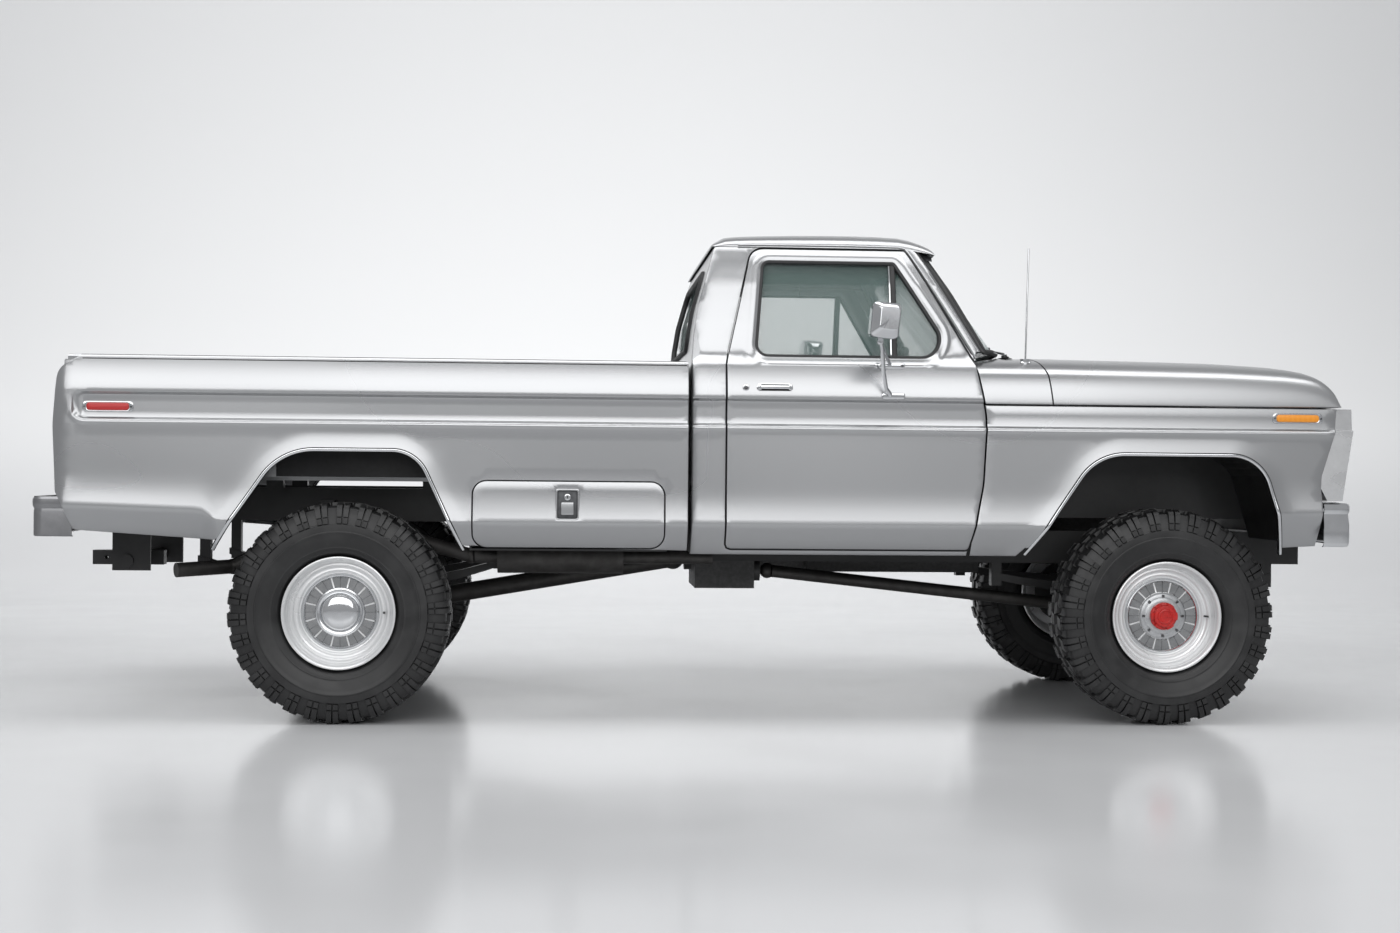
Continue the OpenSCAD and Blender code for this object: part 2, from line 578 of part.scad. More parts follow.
module door() on_cab() union() {
  difference() {
    intersection() {
      band(-1900, -700, 0, door_t);
      along_y(0, half_w + 1) polygon(door_line());
    }
    along_y(0, half_w + 2) polygon(window_line);
    // inner rear edge set forward so that it clears the pillar as it swings
    difference() {
      intersection() {
        band(-1900, -1500, 22, door_t + 5);
        bar([-1900, 0, 0], [-1500, half_w, 1300]);
      }
      translate([door_inner_step, 0, 0]) along_y(0, half_w + 2) polygon(door_line());
    }
  }
  intersection() {
    band(vent_bar_x - 12, vent_bar_x + 12, 4, door_t - 10);
    along_y(0, half_w) polygon(rounded([[-1700, 800, 0], [-880, 800, 0], [-880, 1210, 0], [-1700, 1210,
      0]]));
  }
  // hinge leaves that close against the pillar
  for (z = [190, 560]) bar([-815, half_w - 126, z - 25], [hinge_pillar_x - seat_gap, half_w - 60, z + 25]);
}
door_inner_step = 18;
module window_glass() on_cab() difference() {
  intersection() {
    band(-1900, -700, 26, 32);
    along_y(0, half_w) polygon(window_line);
  }
  bar([vent_bar_x - 12, 0, 700], [vent_bar_x + 12, half_w, 1300]);
}
mirror_x = -1227;
module mirror_head() on_cab() union() {
  translate([0, half_w + 76, 0]) along_y(0, 190)
    polygon(rounded([[mirror_x - 60, 872, 15], [mirror_x + 50, 862, 20], [mirror_x + 66, 1005, 20],
      [mirror_x - 50, 1012, 15]]));
  // a foot on the belt and one on the side, each with an arm to the head
  intersection() {
    band(mirror_x - 5, mirror_x + 122, -14, -seat_gap);
    bar([-2000, 0, 756], [0, half_w + 20, 790]);
  }
  intersection() {
    band(mirror_x + 24, mirror_x + 122, -12, -seat_gap);
    bar([-2000, 0, 634], [0, half_w + 20, 662]);
  }
  rod([mirror_x + 60, half_w - 22, 778], [mirror_x + 10, half_w + 110, 880], 7);
  rod([mirror_x + 75, half_w + 8, 650], [mirror_x + 10, half_w + 180, 880], 7);
}
module right_door() color("#b4b6b6") mirror([0, 1, 0]) door();
module left_door() color("#b4b6b6") door();
module right_window() color("#9fb3ae") mirror([0, 1, 0]) window_glass();
module left_window() color("#9fb3ae") window_glass();
module right_mirror() color("#d5d8da") mirror([0, 1, 0]) mirror_head();
module left_mirror() color("#d5d8da") mirror_head();

// ---- bed -------------------------------------------------------------------------------------------

tailgate_half = bed_half - 5;
gate_x = -1087;
gate_z = bed_floor_z + 43;
trunnion_r = 9;
module bed_floor() color("#8f9192") on_bed() union() {
  difference() {
    bar([gate_x + 37, -bed_half, bed_floor_z], [bed_front, bed_half, bed_floor_z + bed_floor_t]);
    for (s = [-1, 1]) at_side(s) bar([-440, 622, bed_floor_z - 1], [440, bed_half + 1,
      bed_floor_z + bed_floor_t + 1]);
  }
  bar([bed_front - 30, -bed_half, bed_floor_z + 1], [bed_front, bed_half, rail_top]);
  for (s = [-1, 1]) at_side(s) difference() {
    along_y(610, bed_half) polygon(house_line(0));
    along_y(622, bed_half + 1) polygon(house_line(12));
  }
}
function house_line(g) = rounded([[-480 + g, bed_floor_z + 1 - g, 0], [-400 + g * 0.8, 540 - g, 130],
  [400 - g * 0.8, 540 - g, 130], [480 - g, bed_floor_z + 1 - g, 0]]);

bed_side_line = rounded([[-1025, 773, 35], [-1106, 720, 70], [-1126, 500, 300], [-1110, 235, 25],
  [-1082, 190, 12],
  [-1045, 82, 20], [-500, 46, 0], [bed_front, 14, 0], [bed_front, 773, 0]]);
side_t = 40;
bed_section = concat(lower_skin, [[bed_half, 775], [bed_half, bed_floor_z + 16], [half_w - side_t,
  bed_floor_z + 16]],
  [for (i = [2:-1:0]) inset(lower_skin, side_t)[i]]);
module bedside() on_bed() difference() {
  intersection() {
    along_x(-1200, bed_front + 1) polygon(bed_section);
    along_y(0, half_w + 1) polygon(bed_side_line);
    bar([-1200, 0, 0], [bed_front, half_w + 1, rail_top]);
  }
  along_y(0, half_w + 2) polygon(rear_arch);
  // lamp recess and trunnion bore
  bar([-1200, lamp_in, 330], [-1085, half_w + 2, 700]);
  cross_rod(gate_x, 0, bed_half + 16, gate_z, trunnion_r + pin_gap);
}
lamp_in = half_w - 110;
module left_bedside() color("#b4b6b6") bedside();
module right_bedside() color("#b4b6b6") difference() {
  mirror([0, 1, 0]) bedside();
  on_bed() mirror([0, 1, 0]) along_y(0, half_w + 2) polygon(toolbox_line(panel_gap - 2));
}
module tail_lights() color("#a3171a") on_bed() for (s = [-1, 1]) at_side(s) intersection() {
  band(-1200, -1085, 1, 108, lower_skin);
  along_y(0, half_w + 2) polygon(bed_side_line);
  bar([-1119, lamp_in, 330], [-1085, half_w + 2, 700]);
}

box_wall = 8;
module toolbox() color("#303132") on_bed() mirror([0, 1, 0]) intersection() {
  difference() {
    bar([toolbox_x0 - 16, 610, 8], [toolbox_x1 + 16, half_w, bed_floor_z - 2]);
    bar([toolbox_x0 - 16 + box_wall, 610 + box_wall, 8 + box_wall],
        [toolbox_x1 + 16 - box_wall, half_w + 1, bed_floor_z - 2 - box_wall]);
  }
  along_x(0, 3000) polygon(concat([[0, 0]], inset(lower_skin, side_t), [[0, 775]]));
}
lid_t = 20;
module toolbox_door() color("#b4b6b6") on_bed() mirror([0, 1, 0]) union() {
  intersection() {
    band(toolbox_x0 - 1, toolbox_x1 + 1, 0, lid_t, lower_skin);
    along_y(0, half_w + 1) polygon(toolbox_line());
  }
  for (x = [toolbox_x0 + 150, toolbox_x1 - 150])
    bar([x - 30, half_w - 90, 19 + seat_gap], [x + 30, half_w - 66, 34]);
}

module tailgate() color("#b4b6b6") on_bed() union() {
  bar([gate_x - 25, -tailgate_half, gate_z - 25], [gate_x + 25, tailgate_half, rail_top - 6]);
  cross_rod(gate_x, -bed_half - 12, bed_half + 12, gate_z, trunnion_r);
}

// ---- wheels and steering ---------------------------------------------------------------------------

spindle_end = track / 2 + 40;
disc_y = 30;                             // the wheel disc's place outside the tyre's middle
arm_x = 170;
module knuckle() translate([front_x, 0, axle_z]) union() {
  translate([0, kingpin_y, -yoke + 3]) cylinder(h = 2 * yoke - 6, r = 44);
  translate([0, kingpin_y, -yoke - 20]) cylinder(h = 2 * yoke + 40, r = 14);
  bar([-42, kingpin_y, -60], [42, kingpin_y + 55, 60]);
  cross_rod(0, kingpin_y + 30, spindle_end, 0, spindle_r);
  cross_rod(0, kingpin_y + 50, kingpin_y + 62, 0, 150);
  bar([0, kingpin_y - 14, 8], [arm_x, kingpin_y + 14, 28]);
  translate([arm_x, kingpin_y, 8]) cylinder(h = 20, r = 20);
  translate([arm_x, kingpin_y, -18]) cylinder(h = 30, r = 8);
}
module right_knuckle() color("#303234") mirror([0, 1, 0]) knuckle();
module left_knuckle() color("#303234") knuckle();
module tie_rod() color("#303234") translate([front_x + arm_x, 0, axle_z]) difference() {
  union() {
    cross_rod(0, -kingpin_y, kingpin_y, -8, 13);
    for (s = [-1, 1]) translate([0, s * kingpin_y, -24]) cylinder(h = 32 - seat_gap, r = 19);
  }
  for (s = [-1, 1]) translate([0, s * kingpin_y, -30]) cylinder(h = 60, r = 8 + pin_gap);
}

hub_back = 12;
stub_len = 16;
stub_r = 9;
module steering_wheel() color("#232324") on_cab() translate([wheel_x, wheel_y, wheel_z]) rotate([0,
  column_lean - 90, 0])
  difference() {
    union() {
      rotate_extrude() translate([195, 0]) circle(r = 14, $fn = 32);
      translate([0, 0, -hub_back]) cylinder(h = hub_back + 22, r = 42);
      for (a = [0, 120, 240]) rotate([0, 0, a]) rotate([0, 90, 0]) cylinder(h = 188, r = 9);
    }
    translate([0, 0, -hub_back - 8]) cylinder(h = hub_back + 9 + stub_len, r = stub_r + pin_gap);
  }

tyre_r = tyre_d / 2;
bead_r = barrel_d / 2 + 9;
// Section through one tyre: tread blocks follow the crown, side walls bulge down to the beads
module tyre(x, s) translate([x, s * track / 2, axle_z]) rotate([-90 * s, 0, 0]) rotate_extrude($fn = 96)
  polygon(concat([for (q = tyre_side) [q[0], q[1]]], reversed([for (q = tyre_side) [q[0], -q[1]]])));
rim_half = 98;
tyre_side = [[bead_r, rim_half], [bead_r + 21, rim_half], [bead_r + 32, tyre_w * 0.39], [bead_r + 70,
  tyre_w * 0.47],
  [tyre_r - 120, tyre_w * 0.5], [tyre_r - 60, tyre_w * 0.49], [tyre_r - 22, tyre_w * 0.46],
    [tyre_r - 5, tyre_w * 0.4],
  [tyre_r, tyre_w * 0.3]];
// Rim, disc and hub in one: barrel with a lip each side, dished disc, hub bored for the spindle
module wheel(x, s, cap_len) translate([x, s * track / 2, axle_z]) rotate([-90 * s, 0, 0]) difference() {
  b = barrel_d / 2;
  seat = bead_r - seat_gap;
  lip = rim_half + seat_gap;
  rotate_extrude() polygon([[b + 22, 121], [b + 26, 114], [b + 24, lip], [seat, lip], [seat, -lip],
    [b + 24, -lip],
    [b + 26, -114], [b + 22, -121], [b + 8, -112], [b - 2, -90], [b - 2, disc_y - 6], [140, disc_y],
      [90, disc_y - 8],
    [62, disc_y - 30], [62, -45], [0, -45], [0, 60 + cap_len], [40, 60 + cap_len], [52, 50 + cap_len],
      [62, 56],
    [100, disc_y + 12], [150, disc_y + 16], [b - 14, disc_y + 8], [b - 2, disc_y + 30], [b - 2, 80],
      [b + 8, 112]]);
  translate([0, 0, -60]) cylinder(h = spindle_end - track / 2 + 61, r = spindle_r + pin_gap);
}
module front_right_tyre() color("#1a1a1b") tyre(front_x, -1);
module front_left_tyre() color("#1a1a1b") tyre(front_x, 1);
module rear_right_tyre() color("#1a1a1b") tyre(rear_x, -1);
module rear_left_tyre() color("#1a1a1b") tyre(rear_x, 1);
module front_right_wheel() color("#d9dbdb") wheel(front_x, -1, 40);
module front_left_wheel() color("#d9dbdb") wheel(front_x, 1, 40);
module rear_right_wheel() color("#d9dbdb") wheel(rear_x, -1, 20);
module rear_left_wheel() color("#d9dbdb") wheel(rear_x, 1, 20);

ladder_frame();
rear_bumper();
hitch_receiver();
engine();
transfer_case();
front_axle();
rear_axle();
driveshafts();
leaf_springs();
shock_absorbers();
exhaust();
fuel_tank();
front_bumper();
grille();
headlights();
radiator();
inner_fenders();
right_fender();
left_fender();
cab_floor();
cowl();
cab_back();
right_cab_side();
left_cab_side();
roof();
windshield();
rear_window();
dashboard();
bench_seat();
antenna();
bed_floor();
right_bedside();
left_bedside();
toolbox();
tail_lights();
hood();
tailgate();
toolbox_door();
right_door();
right_window();
right_mirror();
left_door();
left_window();
left_mirror();
right_knuckle();
left_knuckle();
tie_rod();
steering_wheel();
front_right_tyre();
front_right_wheel();
front_left_tyre();
front_left_wheel();
rear_right_tyre();
rear_right_wheel();
rear_left_tyre();
rear_left_wheel();
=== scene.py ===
import math
import bmesh
import bpy
import numpy as np
from mathutils import Matrix, Vector, geometry


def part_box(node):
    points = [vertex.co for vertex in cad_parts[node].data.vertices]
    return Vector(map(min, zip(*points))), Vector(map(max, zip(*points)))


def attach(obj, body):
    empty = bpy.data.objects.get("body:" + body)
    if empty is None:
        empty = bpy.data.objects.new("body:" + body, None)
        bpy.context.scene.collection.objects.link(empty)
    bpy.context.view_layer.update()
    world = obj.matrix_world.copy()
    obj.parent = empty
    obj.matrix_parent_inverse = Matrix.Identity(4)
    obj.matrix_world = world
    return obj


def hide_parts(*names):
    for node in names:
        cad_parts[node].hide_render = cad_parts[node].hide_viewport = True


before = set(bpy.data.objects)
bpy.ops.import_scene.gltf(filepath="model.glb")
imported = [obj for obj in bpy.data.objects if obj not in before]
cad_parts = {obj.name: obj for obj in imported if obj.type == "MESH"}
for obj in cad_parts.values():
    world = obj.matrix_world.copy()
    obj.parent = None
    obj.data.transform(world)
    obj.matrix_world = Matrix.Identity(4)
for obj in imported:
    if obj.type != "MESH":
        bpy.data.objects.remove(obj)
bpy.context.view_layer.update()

# Camera: a long lens at hood height, almost square to the right side of the truck and a touch behind its middle.
# Its angles are in radians.
camera = bpy.data.objects.new("camera", bpy.data.cameras.new("camera"))
bpy.context.scene.collection.objects.link(camera)
camera.data.lens = 51.65
camera.data.clip_end = 200
yaw, pitch, roll = 0.0661, -0.0005, 0.0094
ahead = Vector((math.sin(yaw) * math.cos(pitch), math.cos(yaw) * math.cos(pitch), math.sin(pitch)))
right = Vector((math.cos(yaw), -math.sin(yaw), 0))
up = right.cross(ahead)
rolled_right = math.cos(roll) * right + math.sin(roll) * up
rolled_up = math.cos(roll) * up - math.sin(roll) * right
turned = Matrix((rolled_right, rolled_up, -ahead)).transposed().to_4x4()
camera.matrix_world = Matrix.Translation((-0.591, -9.071, 1.05)) @ turned
bpy.context.scene.camera = camera
bpy.context.scene.view_settings.view_transform = "Standard"


# Studio: a glossy pale floor that curves up into a plain wall, lit by a long softbox overhead, a wide one behind
# the camera and a pale surround.
class Field:
    """The output of a node, for use in arithmetic and as the input of other nodes."""

    def __init__(self, tree, socket):
        self.tree, self.socket = tree, socket

    def node(self, kind, inputs, out=0, **settings):
        """Adds a node of this kind to the same tree; inputs are plain values or other fields."""
        made = self.tree.nodes.new(kind)
        for key, value in settings.items():
            setattr(made, key, value)
        for key, value in inputs.items():
            if isinstance(value, Field):
                self.tree.links.new(value.socket, made.inputs[key])
            else:
                made.inputs[key].default_value = value
        return Field(self.tree, made.outputs[out])

    def math(self, operation, a, b=0.0):
        return self.node("ShaderNodeMath", {0: a, 1: b}, operation=operation)

    def __add__(self, other):
        return self.math("ADD", self, other)

    def __sub__(self, other):
        return self.math("SUBTRACT", self, other)

    def __rsub__(self, other):
        return self.math("SUBTRACT", other, self)

    def __mul__(self, other):
        return self.math("MULTIPLY", self, other)

    def __truediv__(self, other):
        return self.math("DIVIDE", self, other)

    def __pow__(self, other):
        return self.math("POWER", self, other)

    __radd__ = __add__
    __rmul__ = __mul__

    def ramp(self, low, high, start=0.0, end=1.0):
        """Turns smoothly from start to end as the value goes from low to high."""
        ends = {"From Min": low, "From Max": high, "To Min": start, "To Max": end}
        return self.node("ShaderNodeMapRange", {"Value": self, **ends}, interpolation_type="SMOOTHSTEP")

    def axis(self, name):
        return self.node("ShaderNodeSeparateXYZ", {0: self}, out=name)

    def noise(self, scale, detail=3.0):
        return self.node("ShaderNodeTexNoise", {"Vector": self, "Scale": scale, "Detail": detail})

    def waves(self, scale, direction, distortion=0.0):
        inputs = {"Vector": self, "Scale": scale, "Distortion": distortion}
        return self.node("ShaderNodeTexWave", inputs, bands_direction=direction)

    def mix(self, a, b):
        """The colour between a and b for this value."""
        return self.node("ShaderNodeMix", {0: self, 6: a, 7: b}, out=2, data_type="RGBA")


def finish_of(name, color, rough, metal=0.0, coat=0.0, coat_rough=0.03):
    """Starts a material: returns it with its surface shader and the place on the object that its pattern reads."""
    made = bpy.data.materials.new(name)
    made.use_nodes = True
    made.diffuse_color = (*color, 1)
    shader = made.node_tree.nodes["Principled BSDF"]
    shader.inputs["Base Color"].default_value = (*color, 1)
    shader.inputs["Roughness"].default_value = rough
    shader.inputs["Metallic"].default_value = metal
    shader.inputs["Coat Weight"].default_value = coat
    shader.inputs["Coat Roughness"].default_value = coat_rough
    place = Field(made.node_tree, made.node_tree.nodes.new("ShaderNodeTexCoord").outputs["Object"])
    return made, shader, place


def drive(shader, socket, field):
    shader.id_data.links.new(field.socket, shader.inputs[socket])


def emboss(shader, height, strength, distance=0.001):
    bumped = height.node("ShaderNodeBump", {"Height": height, "Strength": strength, "Distance": distance})
    drive(shader, "Normal", bumped)


def grained(name, light, dark, rough, metal=0.0, scale=40.0, depth=0.2, coat=0.0, spread=0.08):
    """A material with a fine grain, a slow drift of shade and an uneven gloss."""
    made, shader, place = finish_of(name, light, rough, metal, coat)
    slow, fine = place.noise(scale / 12, 4.0), place.noise(scale, 5.0)
    drive(shader, "Base Color", (slow * 0.6 + fine * 0.4).ramp(0.32, 0.68).mix((*dark, 1), (*light, 1)))
    drive(shader, "Roughness", slow.ramp(0.3, 0.7, rough - spread, rough + spread))
    emboss(shader, place.noise(scale * 8, 2.0) * 0.5 + fine, depth)
    return made


def dress(obj, *materials):
    obj.data.materials.clear()
    for material in materials:
        obj.data.materials.append(material)
    return obj


def mesh_object(name, points, faces, material, body=None, angle=35):
    """A piece from points in metres and faces, smooth but for edges sharper than the angle, riding on a body."""
    mesh = bpy.data.meshes.new(name)
    mesh.from_pydata([tuple(p) for p in points], [], [tuple(f) for f in faces])
    mesh.validate()
    mesh.shade_smooth()
    mesh.set_sharp_from_angle(angle=math.radians(angle))
    obj = bpy.data.objects.new(name, mesh)
    bpy.context.scene.collection.objects.link(obj)
    mesh.materials.append(material)
    if body:
        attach(obj, body)
    return obj


floor_half, wall_foot, wall_bend, wall_top = 40, 6, 9, 30
wall_line = [(-30, 0), (wall_foot, 0)]
wall_line += [(wall_foot + wall_bend * math.sin(a), wall_bend - wall_bend * math.cos(a))
              for a in np.linspace(0.1, math.pi / 2, 14)]
wall_line += [(wall_foot + wall_bend, wall_top)]
sweep_points = [(x, y, z) for y, z in wall_line for x in (-floor_half, floor_half)]
sweep_faces = [(2 * i, 2 * i + 1, 2 * i + 3, 2 * i + 2) for i in range(len(wall_line) - 1)]
floor_finish, shader, place = finish_of("studio_floor", (0.83, 0.835, 0.845), 0.2)
# Painted shade and light: the floor is painted darker and the wall lighter as it rises, for how the studio light
# falls on them.
drive(shader, "Base Color", place.axis("Z").ramp(0.0, 1.6).mix((0.60, 0.605, 0.615, 1), (0.86, 0.865, 0.87, 1)))
drive(shader, "Roughness", place.noise(0.6, 3.0).ramp(0.3, 0.7, 0.14, 0.24))
emboss(shader, place.noise(1.2, 2.0), 0.04, 0.01)
floor = mesh_object("floor", sweep_points, sweep_faces, floor_finish, angle=80)

world = bpy.data.worlds.new("studio")
bpy.context.scene.world = world
world.use_nodes = True
surround = world.node_tree.nodes["Background"].inputs
surround["Color"].default_value = (0.9, 0.91, 0.93, 1)
surround["Strength"].default_value = 0.46


def softbox(name, place, target, size, power):
    """A soft rectangular light at a place, turned to a target; its size is in metres and its power in watts."""
    light = bpy.data.lights.new(name, "AREA")
    light.shape, light.size, light.size_y, light.energy = "RECTANGLE", *size, power
    obj = bpy.data.objects.new(name, light)
    obj.location = place
    obj.rotation_euler = (Vector(target) - Vector(place)).to_track_quat("-Z", "Y").to_euler()
    bpy.context.scene.collection.objects.link(obj)


softbox("overhead", (0, -1.5, 6.5), (0, -0.3, 0), (11, 3.5), 330)
softbox("camera_side", (-1, -10, 5.6), (0, 0, 1.1), (14, 6.5), 620)
softbox("backdrop", (0, 4.5, 6.5), (0, 14, 2.5), (14, 2), 640)


# Body sides: pressed steel in satin silver. One line runs through bed, cab and nose: a tucked-under sill, a lower
# crease, a sunken channel below the belt and a soft shoulder. Outlines are in mm, along from an axle and above
# the sill.
MM = 0.001
SIDES = ((-1, "right"), (1, "left"))
front_x = sum(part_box("front_right_tyre")[i].x for i in (0, 1)) / 2 / MM
rear_x = sum(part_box("rear_right_tyre")[i].x for i in (0, 1)) / 2 / MM
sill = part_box("right_cab_side")[0].z / MM
half_w = -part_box("right_door")[0].y / MM

silver, shader, place = finish_of("satin_silver", (0.40, 0.405, 0.41), 0.34, metal=0.88, coat=0.18, coat_rough=0.12)
flakes = place.node("ShaderNodeTexVoronoi", {"Vector": place, "Scale": 1400.0}, out="Color")
film = place.noise(0.9, 0.0)
low_dust = place.axis("Z").ramp(0.62, 1.0, 0.10, 0.0)
tone = flakes.axis("X") * 0.05 + film.ramp(0.3, 0.7) * 0.03 - low_dust
drive(shader, "Base Color", (tone + 0.4).mix((0.30, 0.305, 0.315, 1), (0.55, 0.555, 0.56, 1)))
drive(shader, "Roughness", film.ramp(0.3, 0.7, 0.26, 0.31) + low_dust)
emboss(shader, flakes.axis("Y") * 0.6 + place.noise(260.0, 2.0), 0.03, 0.0003)

# Near-black: the colour of some real black parts, and painted shade in gaps, recesses and shaded hollows.
black_and_painted_shade = grained("gap_shadow", (0.012, 0.012, 0.013), (0.006, 0.006, 0.006), 0.8, scale=60)


def rounded(corners, step=18):
    """Closed outline through corners (x, z, radius), its points at most a step apart."""
    line = []
    for i, corner in enumerate(corners):
        b = Vector(corner[:2])
        if len(corner) < 3:
            line.append(b)
            continue
        u = (Vector(corners[i - 1][:2]) - b).normalized()
        v = (Vector(corners[(i + 1) % len(corners)][:2]) - b).normalized()
        half = u.angle(v) / 2
        sweep = math.pi - 2 * half
        centre = b + (u + v).normalized() * corner[2] / math.sin(half)
        start, end = b + u * corner[2] / math.tan(half) - centre, b + v * corner[2] / math.tan(half) - centre
        steps = max(2, math.ceil(corner[2] * sweep / step))
        for k in range(steps + 1):
            w = k / steps
            line.append(centre + (start * math.sin(sweep * (1 - w)) + end * math.sin(sweep * w)) / math.sin(sweep))
    dense = []
    for i, p in enumerate(line):
        q = line[(i + 1) % len(line)]
        parts = max(1, math.ceil((q - p).length / step))
        dense += [tuple(p.lerp(q, k / parts)) for k in range(parts)]
    return np.array(dense)


def inside(points, line):
    """Which of the points lie within a closed outline."""
    a, b = line, np.roll(line, -1, 0)
    x, z = points[:, :1], points[:, 1:]
    rise = np.where(b[:, 1] == a[:, 1], 1e-9, b[:, 1] - a[:, 1])
    crossed = ((a[:, 1] > z) != (b[:, 1] > z)) & (x < a[:, 0] + (z - a[:, 1]) * (b[:, 0] - a[:, 0]) / rise)
    return crossed.sum(1) % 2 == 1


def away(points, line, closed=True):
    """Distance of each point from a line."""
    a = line if closed else line[:-1]
    b = np.roll(line, -1, 0) if closed else line[1:]
    e = b - a
    t = np.clip(((points[:, None] - a) * e).sum(2) / np.maximum((e * e).sum(1), 1e-9), 0, 1)
    return np.linalg.norm(points[:, None] - a - t[..., None] * e, axis=2).min(1)


def moved_in(line, d):
    """The closed outline offset by d to its left, which is inwards where it runs anticlockwise."""
    before, after = line - np.roll(line, 1, 0), np.roll(line, -1, 0) - line
    before /= np.linalg.norm(before, axis=1)[:, None]
    after /= np.linalg.norm(after, axis=1)[:, None]
    normal = np.stack([-before[:, 1] - after[:, 1], before[:, 0] + after[:, 0]], 1)
    normal /= np.maximum(np.linalg.norm(normal, axis=1), 1e-6)[:, None]
    along = np.maximum((normal * np.stack([-before[:, 1], before[:, 0]], 1)).sum(1), 0.4)
    return line + normal * (d / along)[:, None]


def turned_left(line):
    """The outline, running anticlockwise."""
    area = (line[:, 0] * np.roll(line[:, 1], -1) - np.roll(line[:, 0], -1) * line[:, 1]).sum()
    return line if area > 0 else line[::-1]


def pressed(name, body, outline, face, holes=(), lines=(), spacing=40, edge=3.0, wall=4.0, sides=(-1, 1),
            material=silver, replaced=()):
    """Pressed sheets with rolled edges for one side or both: outline, holes and forming lines in x and z, and
    face(x, z) for how far the outside stands from the middle. The names start with right_ and left_."""
    outline = turned_left(np.array(outline))
    holes = [turned_left(np.array(h)) for h in holes]
    borders = [outline] + holes
    points, edges = [], []

    def lay(line, closed):
        first, n = len(points), len(line)
        points.extend(line)
        edges.extend((first + i, first + (i + 1) % n) for i in range(n if closed else n - 1))

    for border, way in [(outline, 1)] + [(h, -1) for h in holes]:
        for inset in (0, edge * 0.3, edge):
            lay(moved_in(border, way * inset) if inset else border, True)
    for line in lines:
        lay(np.array(line), False)
    low, high = outline.min(0), outline.max(0)
    grid = []
    for j, z in enumerate(np.arange(low[1] + spacing / 2, high[1], spacing * 0.87)):
        for x in np.arange(low[0] + spacing * (0.25 + 0.5 * (j % 2)), high[0], spacing):
            grid.append((x, z))
    grid = np.array(grid)
    keep = inside(grid, outline)
    for border in borders:
        keep &= away(grid, border) > spacing * 0.5
    for hole in holes:
        keep &= ~inside(grid, hole)
    for line in lines:
        keep &= away(grid, np.array(line), False) > spacing * 0.45
    points.extend(grid[keep])
    flat, _, triangles = geometry.delaunay_2d_cdt([Vector(p) for p in points], edges, [], 0, 0.01)[:3]
    flat, triangles = np.array([tuple(p) for p in flat]), np.array([tuple(t) for t in triangles])
    middle = flat[triangles].mean(1)
    keep = inside(middle, outline)
    for hole in holes:
        keep &= ~inside(middle, hole)
    triangles = triangles[keep]
    used, triangles = np.unique(triangles, return_inverse=True)
    flat, triangles = flat[used], triangles.reshape(-1, 3)
    gap = np.minimum.reduce([away(flat, b) for b in borders])
    drop = np.where(gap < edge, edge - np.sqrt(np.maximum(edge**2 - (edge - np.minimum(gap, edge)) ** 2, 0)), 0)
    depth = face(flat[:, 0], flat[:, 1])
    ways = dict.fromkeys(pair for a, b, c in triangles for pair in ((a, b), (b, c), (c, a)))
    rim = [(a, b) for a, b in ways if (b, a) not in ways]
    n = len(flat)
    made = []
    for s in sides:
        outer = np.stack([flat[:, 0], s * (depth - drop), flat[:, 1] + sill], 1)
        inner = np.stack([flat[:, 0], s * (depth - wall), flat[:, 1] + sill], 1)
        faces = [tuple(t) for t in triangles] + [(c + n, b + n, a + n) for a, b, c in triangles]
        faces += [(b, a, a + n, b + n) for a, b in rim]
        if s > 0:
            faces = [f[::-1] for f in faces]
        prefix = "right_" if s < 0 else "left_"
        obj = mesh_object(prefix + name, np.concatenate([outer, inner]) * MM, faces, material,
                          prefix + body if body.startswith("door") else body, 32)
        for node in replaced:
            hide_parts(prefix + node if not node.startswith("toolbox") else node)
        made.append(obj)
    return made


def at(axle, corners):
    """Corners given from an axle, moved to their place along the truck."""
    return [(x + axle, *rest) for x, *rest in corners]


channel_end = rear_x - 991
channel_z, belt_z, eaves_z = 576, 775, 1265
crease_x, crease_z = [-2600, -2035, -1980, 2200, 2300], [183, 165, 125, 125, 187]
tumblehome_z = [775, 785, 797, 810, 830, 870, 950, 1040, 1110, 1200, 1265]
tumblehome = [0, -9, -22, -32, -39, -46, -60, -80, -97, -128, -157]
channel_rows = [498, 506, 512, 517, 521, 526, 531, 536, 616, 621, 626, 631, 637]
shoulder_rows = [650, 680, 705, 730, 752, 768, 782]
front_arch = rounded(at(front_x, [(-630, -40), (-316, 422, 220), (370, 422, 170), (505, -40)]), 14)
rear_arch = rounded(at(rear_x, [(-535, -40), (-225, 410, 250), (308, 410, 150), (520, -40)]), 14)


def side_face(x, z):
    """Half width of the body, in mm."""
    x, z = np.asarray(x, float), np.asarray(z, float)
    crease = np.interp(x, crease_x, crease_z)
    under = np.clip((crease - z) / 125, 0, 2)
    over = np.clip((z - crease) / 135, 0, 1)
    out = np.where(z < crease, 12 - 84 * under**1.15, 12 * (1 - over) ** 2)
    out -= 39 * np.clip((z - 640) / 135, 0, 1) ** 1.5
    out += np.where(z > belt_z, np.interp(z, tumblehome_z, tumblehome), 0)
    near = np.maximum(channel_end - x, 0)
    deep = np.hypot(near, z - channel_z) - 50
    sunk = np.clip((8 - deep) / 16, 0, 1)
    out -= 15 * sunk * sunk * (3 - 2 * sunk)
    out += np.where(z < channel_z, 3.5 * np.exp(-(((deep - 15) / 8) ** 2)), 0)
    flat = np.stack([x.ravel(), z.ravel()], 1)
    for arch in (front_arch, rear_arch):
        lift = np.clip(1 - away(flat, arch) / 80, 0, 1).reshape(x.shape)
        out += 9 * lift**1.7
    return half_w + out


